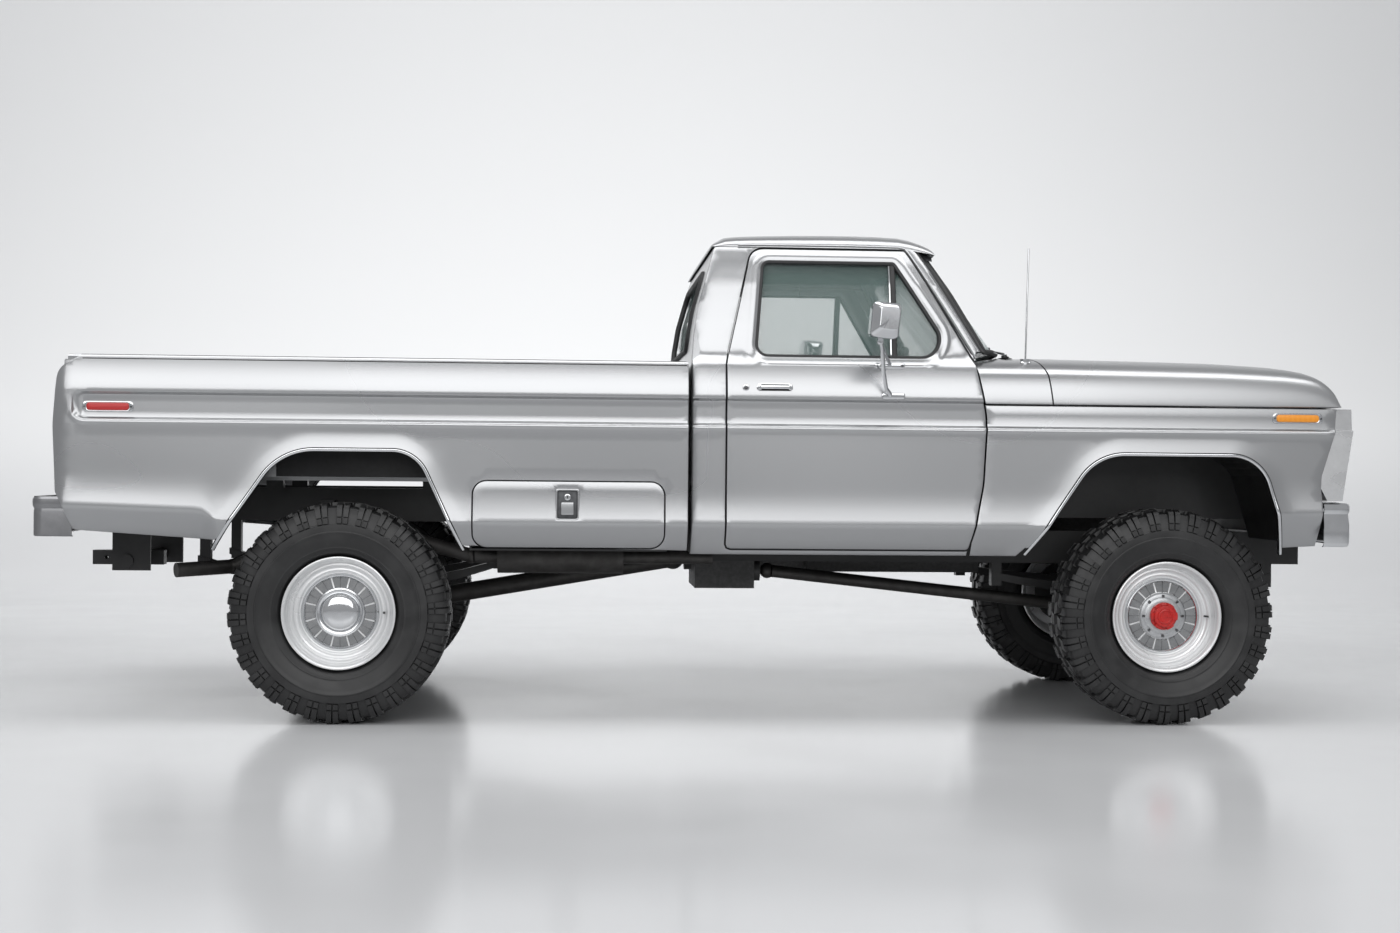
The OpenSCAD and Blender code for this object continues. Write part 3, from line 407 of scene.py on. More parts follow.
def forming_lines(x0, x1, low=0, high=800, every=30):
    """Rows of points along the creases and channel edges, so that the sheet bends where the real one does."""
    xs = np.arange(x0, x1 + every, every)
    crease = np.interp(xs, crease_x, crease_z)
    rows = [np.stack([xs, crease + dz], 1) for dz in (-40, -18, -6, 6, 20, 45)]
    rows += [np.stack([xs, np.full(len(xs), float(h))], 1) for h in channel_rows + shoulder_rows]
    return [r for r in rows if low < r[:, 1].mean() < high]


def arch_lines(arch):
    """Rows of points round a wheel arch, where its lip flares out."""
    return [moved_in(turned_left(arch), -d)[2:-2] for d in (8, 18, 30, 45, 60)]


door_corners = [(-1828, 24, 20), (-834, 24, 12), (-784, 290, 400), (-770, 560, 300), (-812, 788, 60),
                (-1082, 1257, 14), (-1720, 1257, 60), (-1828, 772, 80)]
door_line = rounded(at(front_x, door_corners))
door_gap = moved_in(turned_left(door_line), -6)
window_line = rounded(at(front_x, [(-1712, 807, 50), (-884, 807, 80), (-1131, 1203, 15), (-1678, 1203, 30)]), 12)
bed_front = front_x - 1984
box_x0, box_x1 = bed_front - 862, bed_front - 95
box_door = rounded([(box_x0, 23, 55), (box_x1, 23, 55), (box_x1, 290, 55), (box_x0, 290, 55)], 10)

bed_corners = at(rear_x, [(-1025, 773, 35), (-1106, 720, 70), (-1126, 500, 300), (-1110, 235, 25), (-1082, 190, 12),
                          (-1045, 82, 20), (-500, 46)]) + [(bed_front, 14), (bed_front, 773)]
bed_line = rounded(bed_corners)
end_columns = [[(x, 500), (x, 560), (x, 640)] for x in np.arange(channel_end - 70, channel_end + 10, 8)]
tail_slope = [[(x, z) for z in range(210, 770, 30)] for x in rear_x + np.array((-1110, -1100, -1085))]


def bed_face(x, z):
    """The bed's side, rolled in towards its rear corner."""
    back = np.clip((rear_x - 1060 - np.asarray(x)) / 66, 0, 1)
    return side_face(x, z) - 34 * back**2


bed_lines = forming_lines(rear_x - 1130, bed_front) + arch_lines(rear_arch) + end_columns + tail_slope
pressed("bedside_skin", "chassis", bed_line, bed_face, [rear_arch, moved_in(turned_left(box_door), -4)],
        bed_lines, sides=(-1,), replaced=["bedside"])
pressed("bedside_skin", "chassis", bed_line, bed_face, [rear_arch], bed_lines, sides=(1,), replaced=["bedside"])

fender_line = at(front_x, [(-822, 0), (-632, 0), (-600, 34), (495, 42), (629, 49), (627, 230), (622, 289),
                           (624, 340), (684, 532), (690, 616), (-822, 616)])
pressed("fender_skin", "chassis", rounded(fender_line), side_face, [front_arch, door_gap],
        forming_lines(front_x - 850, front_x + 700, 0, 616) + arch_lines(front_arch), replaced=["fender"])

cab_line = at(front_x, [(-1970, 0), (-836, 0), (-836, 790), (-806, 800), (-797, 846), (-1050, 1265),
                        (-1872, 1265), (-1945, 1010), (-1970, 800)])
pillar_rows = [np.array([(x, z) for x in np.arange(-100, 1160, 30)]) for z in (800, 812, 830, 870, 950, 1110)]


def cab_face(x, z):
    """The cab's side, rolled in at its rear corner."""
    back = np.clip((front_x - 1925 - np.asarray(x) + np.maximum(np.asarray(z) - 800, 0) * 0.15) / 45, 0, 1)
    return side_face(x, z) - 16 * back**2


pressed("cab_side_skin", "chassis", rounded(cab_line), cab_face, [door_gap],
        forming_lines(front_x - 1990, front_x - 700) + pillar_rows, spacing=30, wall=38, replaced=["cab_side"])


# Toolbox door: a hinged steel door with round corners, let into the right side of the bed below the crease, with
# a recessed paddle latch.
def lid_face(x, z):
    """The lid's outer face, half a millimetre below the skin round it."""
    return side_face(x, z) - 0.5


def box_line(x, z, half_x, half_z, radius, step=5):
    """An oblong outline round a middle, with round corners."""
    return rounded([(x + i * half_x, z + k * half_z, radius) for i, k in ((-1, -1), (1, -1), (1, 1), (-1, 1))], step)


latch_x, latch_z = rear_x + 912, 198
latch_hole = box_line(latch_x, latch_z, 44, 60, 7, 8)
pressed("toolbox_door_skin", "toolbox_lid", box_door, lid_face, [latch_hole], forming_lines(box_x0, box_x1, 0, 292),
        wall=16, sides=(-1,), replaced=["toolbox_door"])
chrome = grained("bright_chrome", (0.68, 0.69, 0.70), (0.58, 0.59, 0.605), 0.11, metal=1.0, scale=14, depth=0.01,
                 spread=0.03)
dark_steel = grained("dark_steel", (0.16, 0.165, 0.17), (0.08, 0.08, 0.085), 0.34, metal=0.85, scale=50, depth=0.1)
rubber = grained("black_rubber", (0.035, 0.035, 0.036), (0.016, 0.016, 0.017), 0.62, scale=90, depth=0.15)


def plate(name, body, outline, y, thick, material, edge=2.0, side=-1, dish=0.0, holes=()):
    """A flat or slightly domed plate with rolled edges, standing at a distance y from the middle of the truck."""
    outline = np.array(outline)
    centre, reach = outline.mean(0), np.ptp(outline, axis=0).max() / 2

    def face(x, z):
        return y + thick + dish * (1 - ((x - centre[0]) ** 2 + (z - centre[1]) ** 2) / reach**2)

    made = pressed(name, "chassis", outline, face, holes, spacing=max(6, reach / 4), edge=edge, wall=thick,
                   sides=(side,), material=material)[0]
    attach(made, body)
    return made


latch_y = float(lid_face(latch_x, latch_z))
plate("latch_frame", "toolbox_lid", box_line(latch_x, latch_z, 48, 64, 10), latch_y - 6, 9, silver, 3,
      holes=[box_line(latch_x, latch_z, 40, 56, 6)])
plate("latch_dish", "toolbox_lid", box_line(latch_x, latch_z, 43, 59, 6), latch_y - 15, 3, dark_steel)
plate("latch_paddle", "toolbox_lid", box_line(latch_x, latch_z - 16, 26, 26, 5), latch_y - 11, 11, silver, 3,
      dish=1.5)
plate("latch_lock", "toolbox_lid", box_line(latch_x, latch_z + 30, 13, 13, 12.5, 3), latch_y - 11, 7, chrome, 1.5)
# The keyway is a black plate: painted shade in the key slot.
plate("latch_keyway", "toolbox_lid", box_line(latch_x, latch_z + 30, 1.6, 6, 1.2, 2), latch_y - 4, 0.6, black_and_painted_shade,
      0.3)


# Doors: steel skins with a stamped frame round the window, hung on the front edge. The glass and its vent sit in
# black rubber; a plated pull handle and a lock are at the rear.
def door_face(x, z):
    """The door's outer face: the body side, with the stamped frame round the window standing a little proud."""
    flat = np.stack([np.ravel(x), np.ravel(z)], 1).astype(float)
    gap = away(flat, window_line).reshape(np.shape(x))
    rib = 5 * np.clip((gap - 6) / 12, 0, 1) * np.clip((44 - gap) / 14, 0, 1) - 2 * np.clip(1 - gap / 6, 0, 1)
    return side_face(x, z) + rib * (np.asarray(z) > 770)


window_rings = [moved_in(turned_left(window_line), -d) for d in (6, 12, 18, 30, 37, 44)]
pressed("door_skin", "door", door_line, door_face, [window_line],
        forming_lines(front_x - 1840, front_x - 760) + window_rings, spacing=30, wall=46, replaced=["door"])


def merge_doubles(made):
    bmesh.ops.remove_doubles(made, verts=made.verts, dist=1e-5)
    bmesh.ops.dissolve_degenerate(made, edges=made.edges, dist=1e-6)


def turn_outwards(mesh, merge=False):
    """Turns the faces of a closed mesh outwards, its doubles merged first where asked."""
    made = bmesh.new()
    made.from_mesh(mesh)
    if merge:
        merge_doubles(made)
    bmesh.ops.recalc_face_normals(made, faces=made.faces)
    made.to_mesh(mesh)
    made.free()


def trim(name, body, line, profile, face, material, closed=True, sides=(-1, 1), angle=40):
    """A moulding along a line on the body side. The profile's points are (across, out) from the line, in mm."""
    line = np.array(line, float)
    if closed:
        before, after = np.roll(line, 1, 0), np.roll(line, -1, 0)
    else:
        before, after = np.vstack([2 * line[0] - line[1], line[:-1]]), np.vstack([line[1:], 2 * line[-1] - line[-2]])
    run = after - before
    run /= np.linalg.norm(run, axis=1)[:, None]
    normal = np.stack([-run[:, 1], run[:, 0]], 1)
    made, n, m = [], len(line), len(profile)
    rings = [line + normal * across for across, _ in profile]
    depths = [face(line[:, 0], line[:, 1]) + out for _, out in profile]
    for s in sides:
        points = [(rings[k][i][0], s * depths[k][i], rings[k][i][1] + sill) for i in range(n) for k in range(m)]
        faces = []
        for i in range(n if closed else n - 1):
            j = (i + 1) % n
            for k in range(m):
                l = (k + 1) % m
                faces.append((i * m + k, i * m + l, j * m + l, j * m + k))
        if not closed:
            faces += [tuple(range(m))[::-1], tuple((n - 1) * m + k for k in range(m))]
        prefix = "right_" if s < 0 else "left_"
        obj = mesh_object(prefix + name, np.array(points) * MM, faces, material, None, angle)
        turn_outwards(obj.data)
        made.append(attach(obj, prefix + body if body == "door" else body))
    return made


gasket_profile = [(-9, -12), (-9, -2), (-5, 1), (3, 0), (6, -5), (6, -30), (-2, -30)]
trim("window_gasket", "door", moved_in(turned_left(window_line), 3), gasket_profile, side_face, rubber)
glass, shader, place = finish_of("tinted_glass", (0.50, 0.57, 0.55), 0.03)
shader.inputs["IOR"].default_value = 1.5
glaze = place.node("ShaderNodeLayerWeight", {"Blend": 0.32}, out="Facing")
drive(shader, "Alpha", glaze.ramp(0.1, 0.9, 0.2, 0.7) + place.noise(1.5).ramp(0.3, 0.7, 0.0, 0.03))
drive(shader, "Base Color", place.noise(0.9).mix((0.24, 0.34, 0.32, 1), (0.30, 0.40, 0.38, 1)))
for node in ("right_window", "left_window", "rear_window"):
    dress(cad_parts[node], glass)

vent_x = front_x - 1138
trim("vent_bar", "door", [(vent_x, z) for z in np.linspace(800, 1212, 20)],
     [(-11, -28), (-11, -8), (-7, -4), (7, -4), (11, -8), (11, -28)], side_face, rubber, closed=False)
trim("vent_bright_edge", "door", [(vent_x - 14, z) for z in np.linspace(806, 1206, 20)],
     [(-2.5, -20), (-2.5, -7), (2.5, -7), (2.5, -20)], side_face, chrome, closed=False)

handle_x, handle_z = front_x - 1637, 676
handle_y = float(side_face(handle_x, handle_z))
lock_x = handle_x - 117
for s, side in SIDES:
    door = f"{side}_door"
    plate(f"handle_dish_{side}", door, box_line(handle_x, handle_z, 74, 20, 19), handle_y - 3, 4.5, chrome, 2, s)
    # The well behind the pull is a black plate: painted shade in the handle's recess.
    plate(f"handle_well_{side}", door, box_line(handle_x, handle_z, 66, 15, 14), handle_y + 1.2, 1.2, black_and_painted_shade, 0.5,
          s)
    plate(f"handle_pull_{side}", door, box_line(handle_x + 2, handle_z + 3, 60, 7.5, 7), handle_y + 12, 8, chrome,
          3.5, s, 2)
    for k, x in enumerate((handle_x - 60, handle_x + 62)):
        plate(f"handle_foot_{k}_{side}", door, box_line(x, handle_z + 2, 9, 11, 8), handle_y + 1, 12, chrome, 3, s)
    plate(f"lock_ring_{side}", door, box_line(lock_x, handle_z, 14, 14, 13.5, 3), handle_y - 2, 5, chrome, 2, s)
    plate(f"lock_core_{side}", door, box_line(lock_x, handle_z, 8, 8, 7.5, 3), handle_y + 2.6, 1.6, dark_steel, 1, s)


# Tyres: bias-look mud tyres of matt black rubber. The carcass is one turned section with thin rings on its wall;
# a set of lugs is moulded once and repeated round the axle.
def lathe(profile, turns=96):
    """Turns a closed section of (out, radius) points round the axle, which runs along Y; out is to the right."""
    m = len(profile)
    points = [(r * math.cos(2 * math.pi * i / turns), -u, r * math.sin(2 * math.pi * i / turns))
              for i in range(turns) for u, r in profile]
    faces = []
    for i in range(turns):
        j = (i + 1) % turns
        for k in range(m):
            l = (k + 1) % m
            faces.append((i * m + k, j * m + k, j * m + l, i * m + l))
    return np.array(points), faces


def clean_mesh(name, points, faces, angle=30):
    """A closed mesh from points in mm, its doubles merged and its faces outwards."""
    mesh = bpy.data.meshes.new(name)
    mesh.from_pydata([tuple(p) for p in np.array(points) * MM], [], faces)
    turn_outwards(mesh, merge=True)
    mesh.shade_smooth()
    mesh.set_sharp_from_angle(angle=math.radians(angle))
    return mesh


def finished(obj):
    """The plain mesh of an object with its modifiers applied."""
    return bpy.data.meshes.new_from_object(obj.evaluated_get(bpy.context.evaluated_depsgraph_get()))


def round_the_axle(name, mesh, count, material):
    """Repeats a mesh evenly round the Y axis with a node tree and returns the whole ring as one mesh."""
    tree = bpy.data.node_groups.new(name + "_ring", "GeometryNodeTree")
    tree.interface.new_socket("Geometry", in_out="INPUT", socket_type="NodeSocketGeometry")
    copies = tree.interface.new_socket("Copies", in_out="INPUT", socket_type="NodeSocketInt")
    tree.interface.new_socket("Geometry", in_out="OUTPUT", socket_type="NodeSocketGeometry")
    source, result = tree.nodes.new("NodeGroupInput"), tree.nodes.new("NodeGroupOutput")
    number = Field(tree, source.outputs["Copies"])
    index = number.node("GeometryNodeInputIndex", {})
    line = number.node("GeometryNodeMeshLine", {"Count": number, "Offset": (0, 0, 0)})
    turn = number.node("ShaderNodeCombineXYZ", {"Y": index * (2 * math.pi) / number})
    part = Field(tree, source.outputs["Geometry"])
    dots = line.node("GeometryNodeInstanceOnPoints", {"Points": line, "Instance": part, "Rotation": turn})
    real = dots.node("GeometryNodeRealizeInstances", {"Geometry": dots})
    painted = real.node("GeometryNodeSetMaterial", {"Geometry": real, "Material": material})
    tree.links.new(painted.socket, result.inputs["Geometry"])
    holder = bpy.data.objects.new(name, mesh)
    bpy.context.scene.collection.objects.link(holder)
    modifier = holder.modifiers.new("ring", "NODES")
    modifier.node_group = tree
    modifier[copies.identifier] = count
    ring = finished(holder)
    bpy.data.objects.remove(holder)
    return ring


half_wall = [(60, 431), (112, 430), (128, 424), (139, 408), (146, 385), (150, 366), (153, 360), (156.5, 357),
             (157.5, 345), (157.2, 331), (159, 328.5), (159, 325), (156.5, 321), (154, 308), (149, 290), (143, 273),
             (141, 267.5), (141.5, 264.5), (139.5, 261), (136, 256), (131, 250), (124, 243), (116, 238), (108, 235),
             (103, 231), (100, 226), (98.3, 214), (98.3, 209.5)]
carcass = clean_mesh("carcass", *lathe(half_wall + [(-u, r) for u, r in reversed(half_wall)]))

lug_top = [(157.5, 362), (156.8, 373), (155.6, 384), (154.6, 389), (152, 400), (148.5, 415), (144, 426), (136, 435),
           (124, 440), (104, 443.4)]
lug_foot = [(152, 361), (149, 373), (146, 384), (145, 389), (142, 400), (136, 413), (129, 422), (122, 427),
            (114, 430), (100, 430)]


def block(tops, feet, t0, t1, side=1, slant=0.0):
    """A tread block between two angles in degrees: tops and feet are matching (out, radius) points."""
    points, faces, n = [], [], len(tops)
    for i in range(n):
        lean = slant * i / (n - 1)
        for (u, r), angle in ((feet[i], t0), (tops[i], t0 + 0.25), (tops[i], t1 - 0.25), (feet[i], t1)):
            a = math.radians(angle + lean)
            points.append((r * math.cos(a), -side * u, r * math.sin(a)))
    for i in range(n - 1):
        for k in range(3):
            faces.append((4 * i + k, 4 * i + k + 1, 4 * i + k + 5, 4 * i + k + 4))
    faces += [(0, 1, 2, 3), (4 * n - 1, 4 * n - 2, 4 * n - 3, 4 * n - 4)]
    return points, faces


def joined(parts):
    """Several (points, faces) as one."""
    points, faces = [], []
    for p, f in parts:
        faces += [tuple(v + len(points) for v in face) for face in f]
        points += list(p)
    return points, faces


# Two staggered halves: a split shoulder lug, then an outer and an inner block that lean opposite ways.
outer_block = [(96, 443.7), (72, 444), (50, 444)], [(98, 430), (72, 431), (48, 431)]
inner_block = [(43, 444), (22, 444), (3, 444)], [(45, 431), (22, 431), (1, 431)]
lugs = []
for side, shift in ((1, 0.0), (-1, 6.0)):
    for a, b in ((0.0, 3.3), (3.75, 7.1)):
        lugs.append(block(lug_top[:3], lug_foot[:3], shift + a, shift + b, side))
        lugs.append(block(lug_top[3:], lug_foot[3:], shift + a, shift + b, side))
    lugs.append(block(*outer_block, shift + 1.2, shift + 8.0, side, -1.5))
    lugs.append(block(*inner_block, shift + 4.2, shift + 10.8, side, 1.5))
tyre_finish, shader, place = finish_of("tyre_rubber", (0.03, 0.03, 0.031), 0.6)
dust = place.noise(9.0, 5.0).ramp(0.4, 0.75)
drive(shader, "Base Color", dust.mix((0.010, 0.010, 0.0105, 1), (0.026, 0.026, 0.0265, 1)))
drive(shader, "Roughness", dust.ramp(0, 1, 0.42, 0.6))
emboss(shader, place.noise(420.0, 3.0) + place.noise(60.0) * 0.6, 0.16, 0.0008)
tread = round_the_axle("tread", clean_mesh("lugs", *joined(lugs), angle=25), 30, tyre_finish)


# Wheels: steel rims in bright silver with a wide stepped face. A plated ring with twelve dark plates frames the
# hub: red locking hubs in front, plated domes behind.
rim_section = [(44, 96), (44, 143), (47, 145), (48.5, 151), (47.5, 156), (44, 158.5), (45, 163), (52, 167), (55, 172),
               (54, 178), (57, 184), (64, 188), (67, 193), (66, 199), (72, 203), (84, 204.5), (92, 206), (97, 209),
               (104, 211.5), (112, 214), (118, 218.5), (121, 223), (119.5, 227), (114, 228.2), (109, 226.5),
               (101, 218), (98, 208.6), (-98, 208.6), (-101, 218), (-110, 227), (-118, 227), (-120, 222), (-114, 213),
               (-98, 205), (-90, 200), (20, 198), (30, 180), (26, 150), (24, 60), (24, 31), (42, 31), (42, 0.01),
               (60, 0.01), (60, 60)]
rim_finish, shader, place = finish_of("bright_rim", (0.84, 0.845, 0.85), 0.26, metal=0.45, coat=0.4)
drive(shader, "Roughness", place.noise(7.0, 2.0).ramp(0.3, 0.7, 0.27, 0.31))
drive(shader, "Base Color", place.noise(5.0, 2.0).mix((0.74, 0.745, 0.75, 1), (0.80, 0.805, 0.81, 1)))
emboss(shader, place.noise(60.0), 0.01, 0.0002)
red_cast = grained("red_hub", (0.60, 0.016, 0.012), (0.36, 0.008, 0.007), 0.36, scale=120, depth=0.2, coat=0.1)
plate_steel = grained("plate_steel", (0.40, 0.405, 0.41), (0.30, 0.305, 0.31), 0.2, metal=1.0, scale=40, depth=0.03)
grey_cast = grained("grey_hub", (0.52, 0.53, 0.54), (0.40, 0.41, 0.42), 0.34, metal=0.75, scale=120, depth=0.25)


def arc_block(out0, out1, r0, r1, half, steps=6, chamfer=1.5):
    """A plate bent round the axle between two radii, half degrees to each side, with a chamfered front."""
    points, faces = [], []
    ends = ((out0, r0, half), (out1 - chamfer, r0, half), (out1, r0 + chamfer, half - 0.7),
            (out1, r1 - chamfer, half - 0.7), (out1 - chamfer, r1, half), (out0, r1, half))
    for i in range(steps + 1):
        for u, r, h in ends:
            a = math.radians(-h + 2 * h * i / steps)
            points.append((r * math.cos(a), -u, r * math.sin(a)))
    m = len(ends)
    for i in range(steps):
        for k in range(m):
            faces.append((i * m + k, i * m + (k + 1) % m, (i + 1) * m + (k + 1) % m, (i + 1) * m + k))
    faces += [tuple(range(m)), tuple(steps * m + k for k in reversed(range(m)))]
    return points, faces


def mounted(name, mesh, body, material):
    """A finished mesh as a piece that rides on a body."""
    obj = bpy.data.objects.new(name, mesh)
    bpy.context.scene.collection.objects.link(obj)
    dress(obj, material)
    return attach(obj, body)


ring_section = [(44, 142), (49, 143), (52, 146), (52.5, 150), (50, 155), (46, 158), (42, 158), (42, 142)]
plates = round_the_axle("plates", clean_mesh("plate", *arc_block(42, 46.5, 99, 141.5, 13.8)), 12, plate_steel)
fins = round_the_axle("fins", clean_mesh("fin", *arc_block(42, 48, 96, 143, 0.55, 2, 0.3)), 12, dark_steel)
front_disc = [(42, 40), (42, 97), (50, 97), (54, 94), (57, 88), (58, 78), (61, 74), (63, 62), (63, 40)]
red_hub = [(60, 0.01), (60, 56), (66, 57), (70, 54), (72, 47), (88, 44), (90, 42), (91, 33), (94, 31), (97, 29),
           (98, 25), (95, 22), (94, 0.01)]
rear_dome = [(42, 30), (42, 101), (50, 101), (54, 98), (55, 92), (52, 88), (51, 82), (55, 79), (60, 76), (66, 71),
             (72, 62), (76, 48), (78.5, 30), (79.6, 12), (79.8, 0.01), (44, 0.01)]
lobes = round_the_axle("lobes", clean_mesh("lobe", *arc_block(60, 82, 40, 57, 17, 5, 3)), 6, red_cast)
nuts = round_the_axle("nuts", clean_mesh("nut", *arc_block(58, 66, 79, 88, 3.4, 2, 1.5)), 8, dark_steel)
knob = clean_mesh("knob", *arc_block(93, 99.4, 2, 24, 9, 2, 1))
stem_top, stem_foot = [(58, 172), (86, 176), (90, 177)], [(58, 178), (84, 183), (88, 184)]
stem = clean_mesh("stem", *block(stem_top, stem_foot, -1.2, 1.2))
everywhere = [("tyre", carcass, tyre_finish, "tyre"), ("tread", tread, tyre_finish, "tyre"),
              ("rim", clean_mesh("rim", *lathe(rim_section)), rim_finish, "rim"),
              ("ring", clean_mesh("ring", *lathe(ring_section)), chrome, "chrome"),
              ("plates", plates, plate_steel, "rim"), ("fins", fins, dark_steel, "rim"),
              ("valve", stem, rubber, "tyre")]
in_front = [("disc", clean_mesh("disc", *lathe(front_disc)), grey_cast, "rim"), ("nuts", nuts, dark_steel, "steel"),
            ("hub", clean_mesh("hub", *lathe(red_hub, 64)), red_cast, "shock_red"),
            ("lobes", lobes, red_cast, "shock_red"), ("knob", knob, red_cast, "shock_red")]
behind = [("dome", clean_mesh("dome", *lathe(rear_dome)), chrome, "chrome")]
for axle in ("front", "rear"):
    for s, side in SIDES:
        wheel = f"{axle}_{side}_wheel"
        low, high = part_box(f"{axle}_{side}_tyre")
        for name, mesh, material, slot in everywhere + (in_front if axle == "front" else behind):
            mesh = mesh.copy()
            mesh.transform(Matrix.Translation((low + high) / 2) @ Matrix.Diagonal((1, -s, 1, 1)))
            if s > 0:
                mesh.flip_normals()
            obj = mounted(f"{wheel}_{name}", mesh, wheel, material)
            if name in ("tyre", "rim"):
                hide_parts(f"{axle}_{side}_tyre" if name == "tyre" else wheel)


# Nose and cab shell: the hood, cowl and roof are single stampings that share the shoulder line of the body sides;
# the hood lifts on two straps at its rear edge.
def shell(name, body, rows, thick, material, replaced=(), angle=34, closed=False):
    """A sheet through rows of points in mm, z above the sill, given a thickness towards its inside."""
    n, m = len(rows), len(rows[0])
    points = [Vector((x, y, z + sill)) * MM for row in rows for x, y, z in row]
    faces = [(i * m + j, i * m + (j + 1) % m, (i + 1) * m + (j + 1) % m, (i + 1) * m + j)
             for i in range(n - 1) for j in range(m if closed else m - 1)]
    mesh = bpy.data.meshes.new(name)
    mesh.from_pydata(points, [], faces)
    made = bmesh.new()
    made.from_mesh(mesh)
    merge_doubles(made)
    middle = Vector((0, 0, sill + 300)) * MM
    if sum(f.normal.dot(f.calc_center_median() - middle) * f.calc_area() for f in made.faces) < 0:
        bmesh.ops.reverse_faces(made, faces=made.faces)
    made.to_mesh(mesh)
    made.free()
    holder = bpy.data.objects.new(name, mesh)
    bpy.context.scene.collection.objects.link(holder)
    if thick:
        wall = holder.modifiers.new("wall", "SOLIDIFY")
        wall.thickness, wall.offset, wall.use_even_offset = thick * MM, -1, False
        mesh = finished(holder)
        holder.modifiers.clear()
        holder.data = mesh
    turn_outwards(mesh)
    mesh.shade_smooth()
    mesh.set_sharp_from_angle(angle=math.radians(angle))
    dress(holder, material)
    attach(holder, body)
    if replaced:
        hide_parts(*replaced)
    return holder


shoulder_in = [-2, 0, 0, -4, -11, -20, -27, -36, -55, -80, -104, -160, -230, -304, -420, -540, -564, -590, -700, -860,
               -1004]
shoulder_z = [622, 624, 632, 670, 700, 725, 743, 757, 773, 786, 795, 807, 816, 823, 828, 830.5, 834, 837, 837.5, 838,
              838]
hood_x = [-494, -470, -400, -300, -200, -100, 0, 120, 224, 350, 479, 550, 590, 618, 640, 655, 668, 679, 688, 695, 700,
          703, 704]
hood_z = [838, 837.6, 836.6, 835, 833.5, 832, 830, 828, 826, 820, 812, 803, 795, 785, 773, 761, 747, 731, 713, 692,
          668, 645, 622]


hood_low, hood_rise = 622, 216


def hood_back(z):
    """How far the hood's rear edge runs back below its crown."""
    return np.interp(z, [622, 740, 800, 838], [0, -14, -40, -54])


def both_halves(points):
    """Both halves of a section given as (half width, ...) points from the side to the middle."""
    return points + [(x, -y, z) for x, y, z in reversed(points[:-1])]


hood_rows = []
for x, z in zip(hood_x, hood_z):
    lift = (z - hood_low) / hood_rise
    lean = max(0.0, 1 - (x + 494) / 500)
    hood_rows.append(both_halves([(front_x + x + float(hood_back(b)) * lean, half_w + a,
                                   hood_low + (b - hood_low) * lift) for a, b in zip(shoulder_in, shoulder_z)]))
shell("hood_skin", "hood", hood_rows, 5, silver, ["hood"])
for s, side in SIDES:
    strap = [(front_x + x, z) for x, z in ((-494, 650), (-494, 690), (-484, 700), (-474, 720), (-474, 822))]
    shell(f"hood_strap_{side}", "hood", [[(x, s * 500 + edge, z) for x, z in strap] for edge in (-18, 18)], 5,
          dark_steel)

glass_y = [0, 400, 650, 780, 850]
glass_back = [0, -8, -30, -75, -130]


def glass_x(y, z):
    """Where the bowed windshield stands, from the front axle."""
    return -633 + float(np.interp(abs(y), glass_y, glass_back)) - (z - 840) * 0.7536


cowl_edge_z, cowl_edge_x = [622, 700, 757, 786, 795], [-775, -790, -800, -806, -810]
cowl_glass_y, cowl_glass_x = [0, 400, 650, 780, 850, 890], [-627, -635, -657, -702, -755, -800]
cowl_rows = []
for w in (0, 0.04, 0.12, 0.35, 0.65, 0.9, 1):
    row = []
    for a, b in zip(shoulder_in, shoulder_z):
        y = half_w + a
        front = -500 + float(hood_back(b))
        edge = np.interp(b, cowl_edge_z, cowl_edge_x) if y > 890 else np.interp(y, cowl_glass_y, cowl_glass_x)
        back = float(edge)
        drop = 8 * math.exp(-((w - 0.45) / 0.3) ** 2) if y < 820 else 0
        row.append((front_x + front + (back - front) * w, y, min(b, 834.5) - 0.3 - drop))
    cowl_rows.append(both_halves(row))
shell("cowl_skin", "chassis", cowl_rows, 4, silver, ["cowl"])
# The vent slots are black sheets: painted shade inside the openings.
for k in range(11):
    y = -600 + 120 * k
    x = front_x - 592 - abs(y) * 0.012
    slot_rows = [[(x - 14, y - 45 + 9 * i, 828.5), (x + 10, y - 45 + 9 * i, 828.5)] for i in range(11)]
    shell(f"cowl_vent_{k}", "chassis", slot_rows, 2, black_and_painted_shade)

roof_x = [-1885, -1884, -1878, -1868, -1853, -1840, -1824, -1780, -1720, -1657, -1540, -1420, -1300, -1190, -1090,
          -1040, -1002, -975, -955, -942, -934, -930.5, -930]
roof_z = [1265, 1272, 1284, 1294, 1304, 1314, 1322, 1328, 1332, 1335, 1339, 1341.5, 1342, 1340, 1336, 1330, 1322,
          1314, 1306, 1297, 1286, 1274, 1265]
roof_in = [-194, -195, -198, -204, -214, -232, -262, -304, -380, -480, -604, -800, -1004]
roof_up = [1265, 1272, 1281, 1291, 1301, 1310, 1319, 1327.5, 1334, 1338.5, 1341.5, 1342, 1342]


roof_rise = 77


def visor(x):
    """How far the roof's front edge dips over the windshield."""
    return 22 * max(0.0, (x + 1110) / 180) ** 1.5


roof_rows = []
for x, z in zip(roof_x, roof_z):
    lift = (z - eaves_z) / roof_rise
    front = max(0.0, (x + 1400) / 470)
    roof_rows.append(both_halves([(front_x + x - 26 * front * ((half_w + a) / 810) ** 4, half_w + a,
                              eaves_z - visor(x) + (b - eaves_z) * lift)
                             for a, b in zip(roof_in, roof_up)]))
shell("roof_skin", "chassis", roof_rows, 4, silver, ["roof"])


def end_sheet(name, body, outline, face, ahead=False, holes=(), lines=(), spacing=40, edge=3.0, wall=4.0,
              material=silver, replaced=()):
    """A sheet across the truck: an outline in y and z, and face(y, z) for how far it stands from the middle."""
    made = pressed(name, "chassis", outline, face, holes, lines, spacing, edge, wall, (-1,), material)[0]
    made.name = name
    made.data.transform(Matrix.Rotation(math.radians(90 if ahead else -90), 4, "Z"))
    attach(made, body)
    if replaced:
        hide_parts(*replaced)
    return made


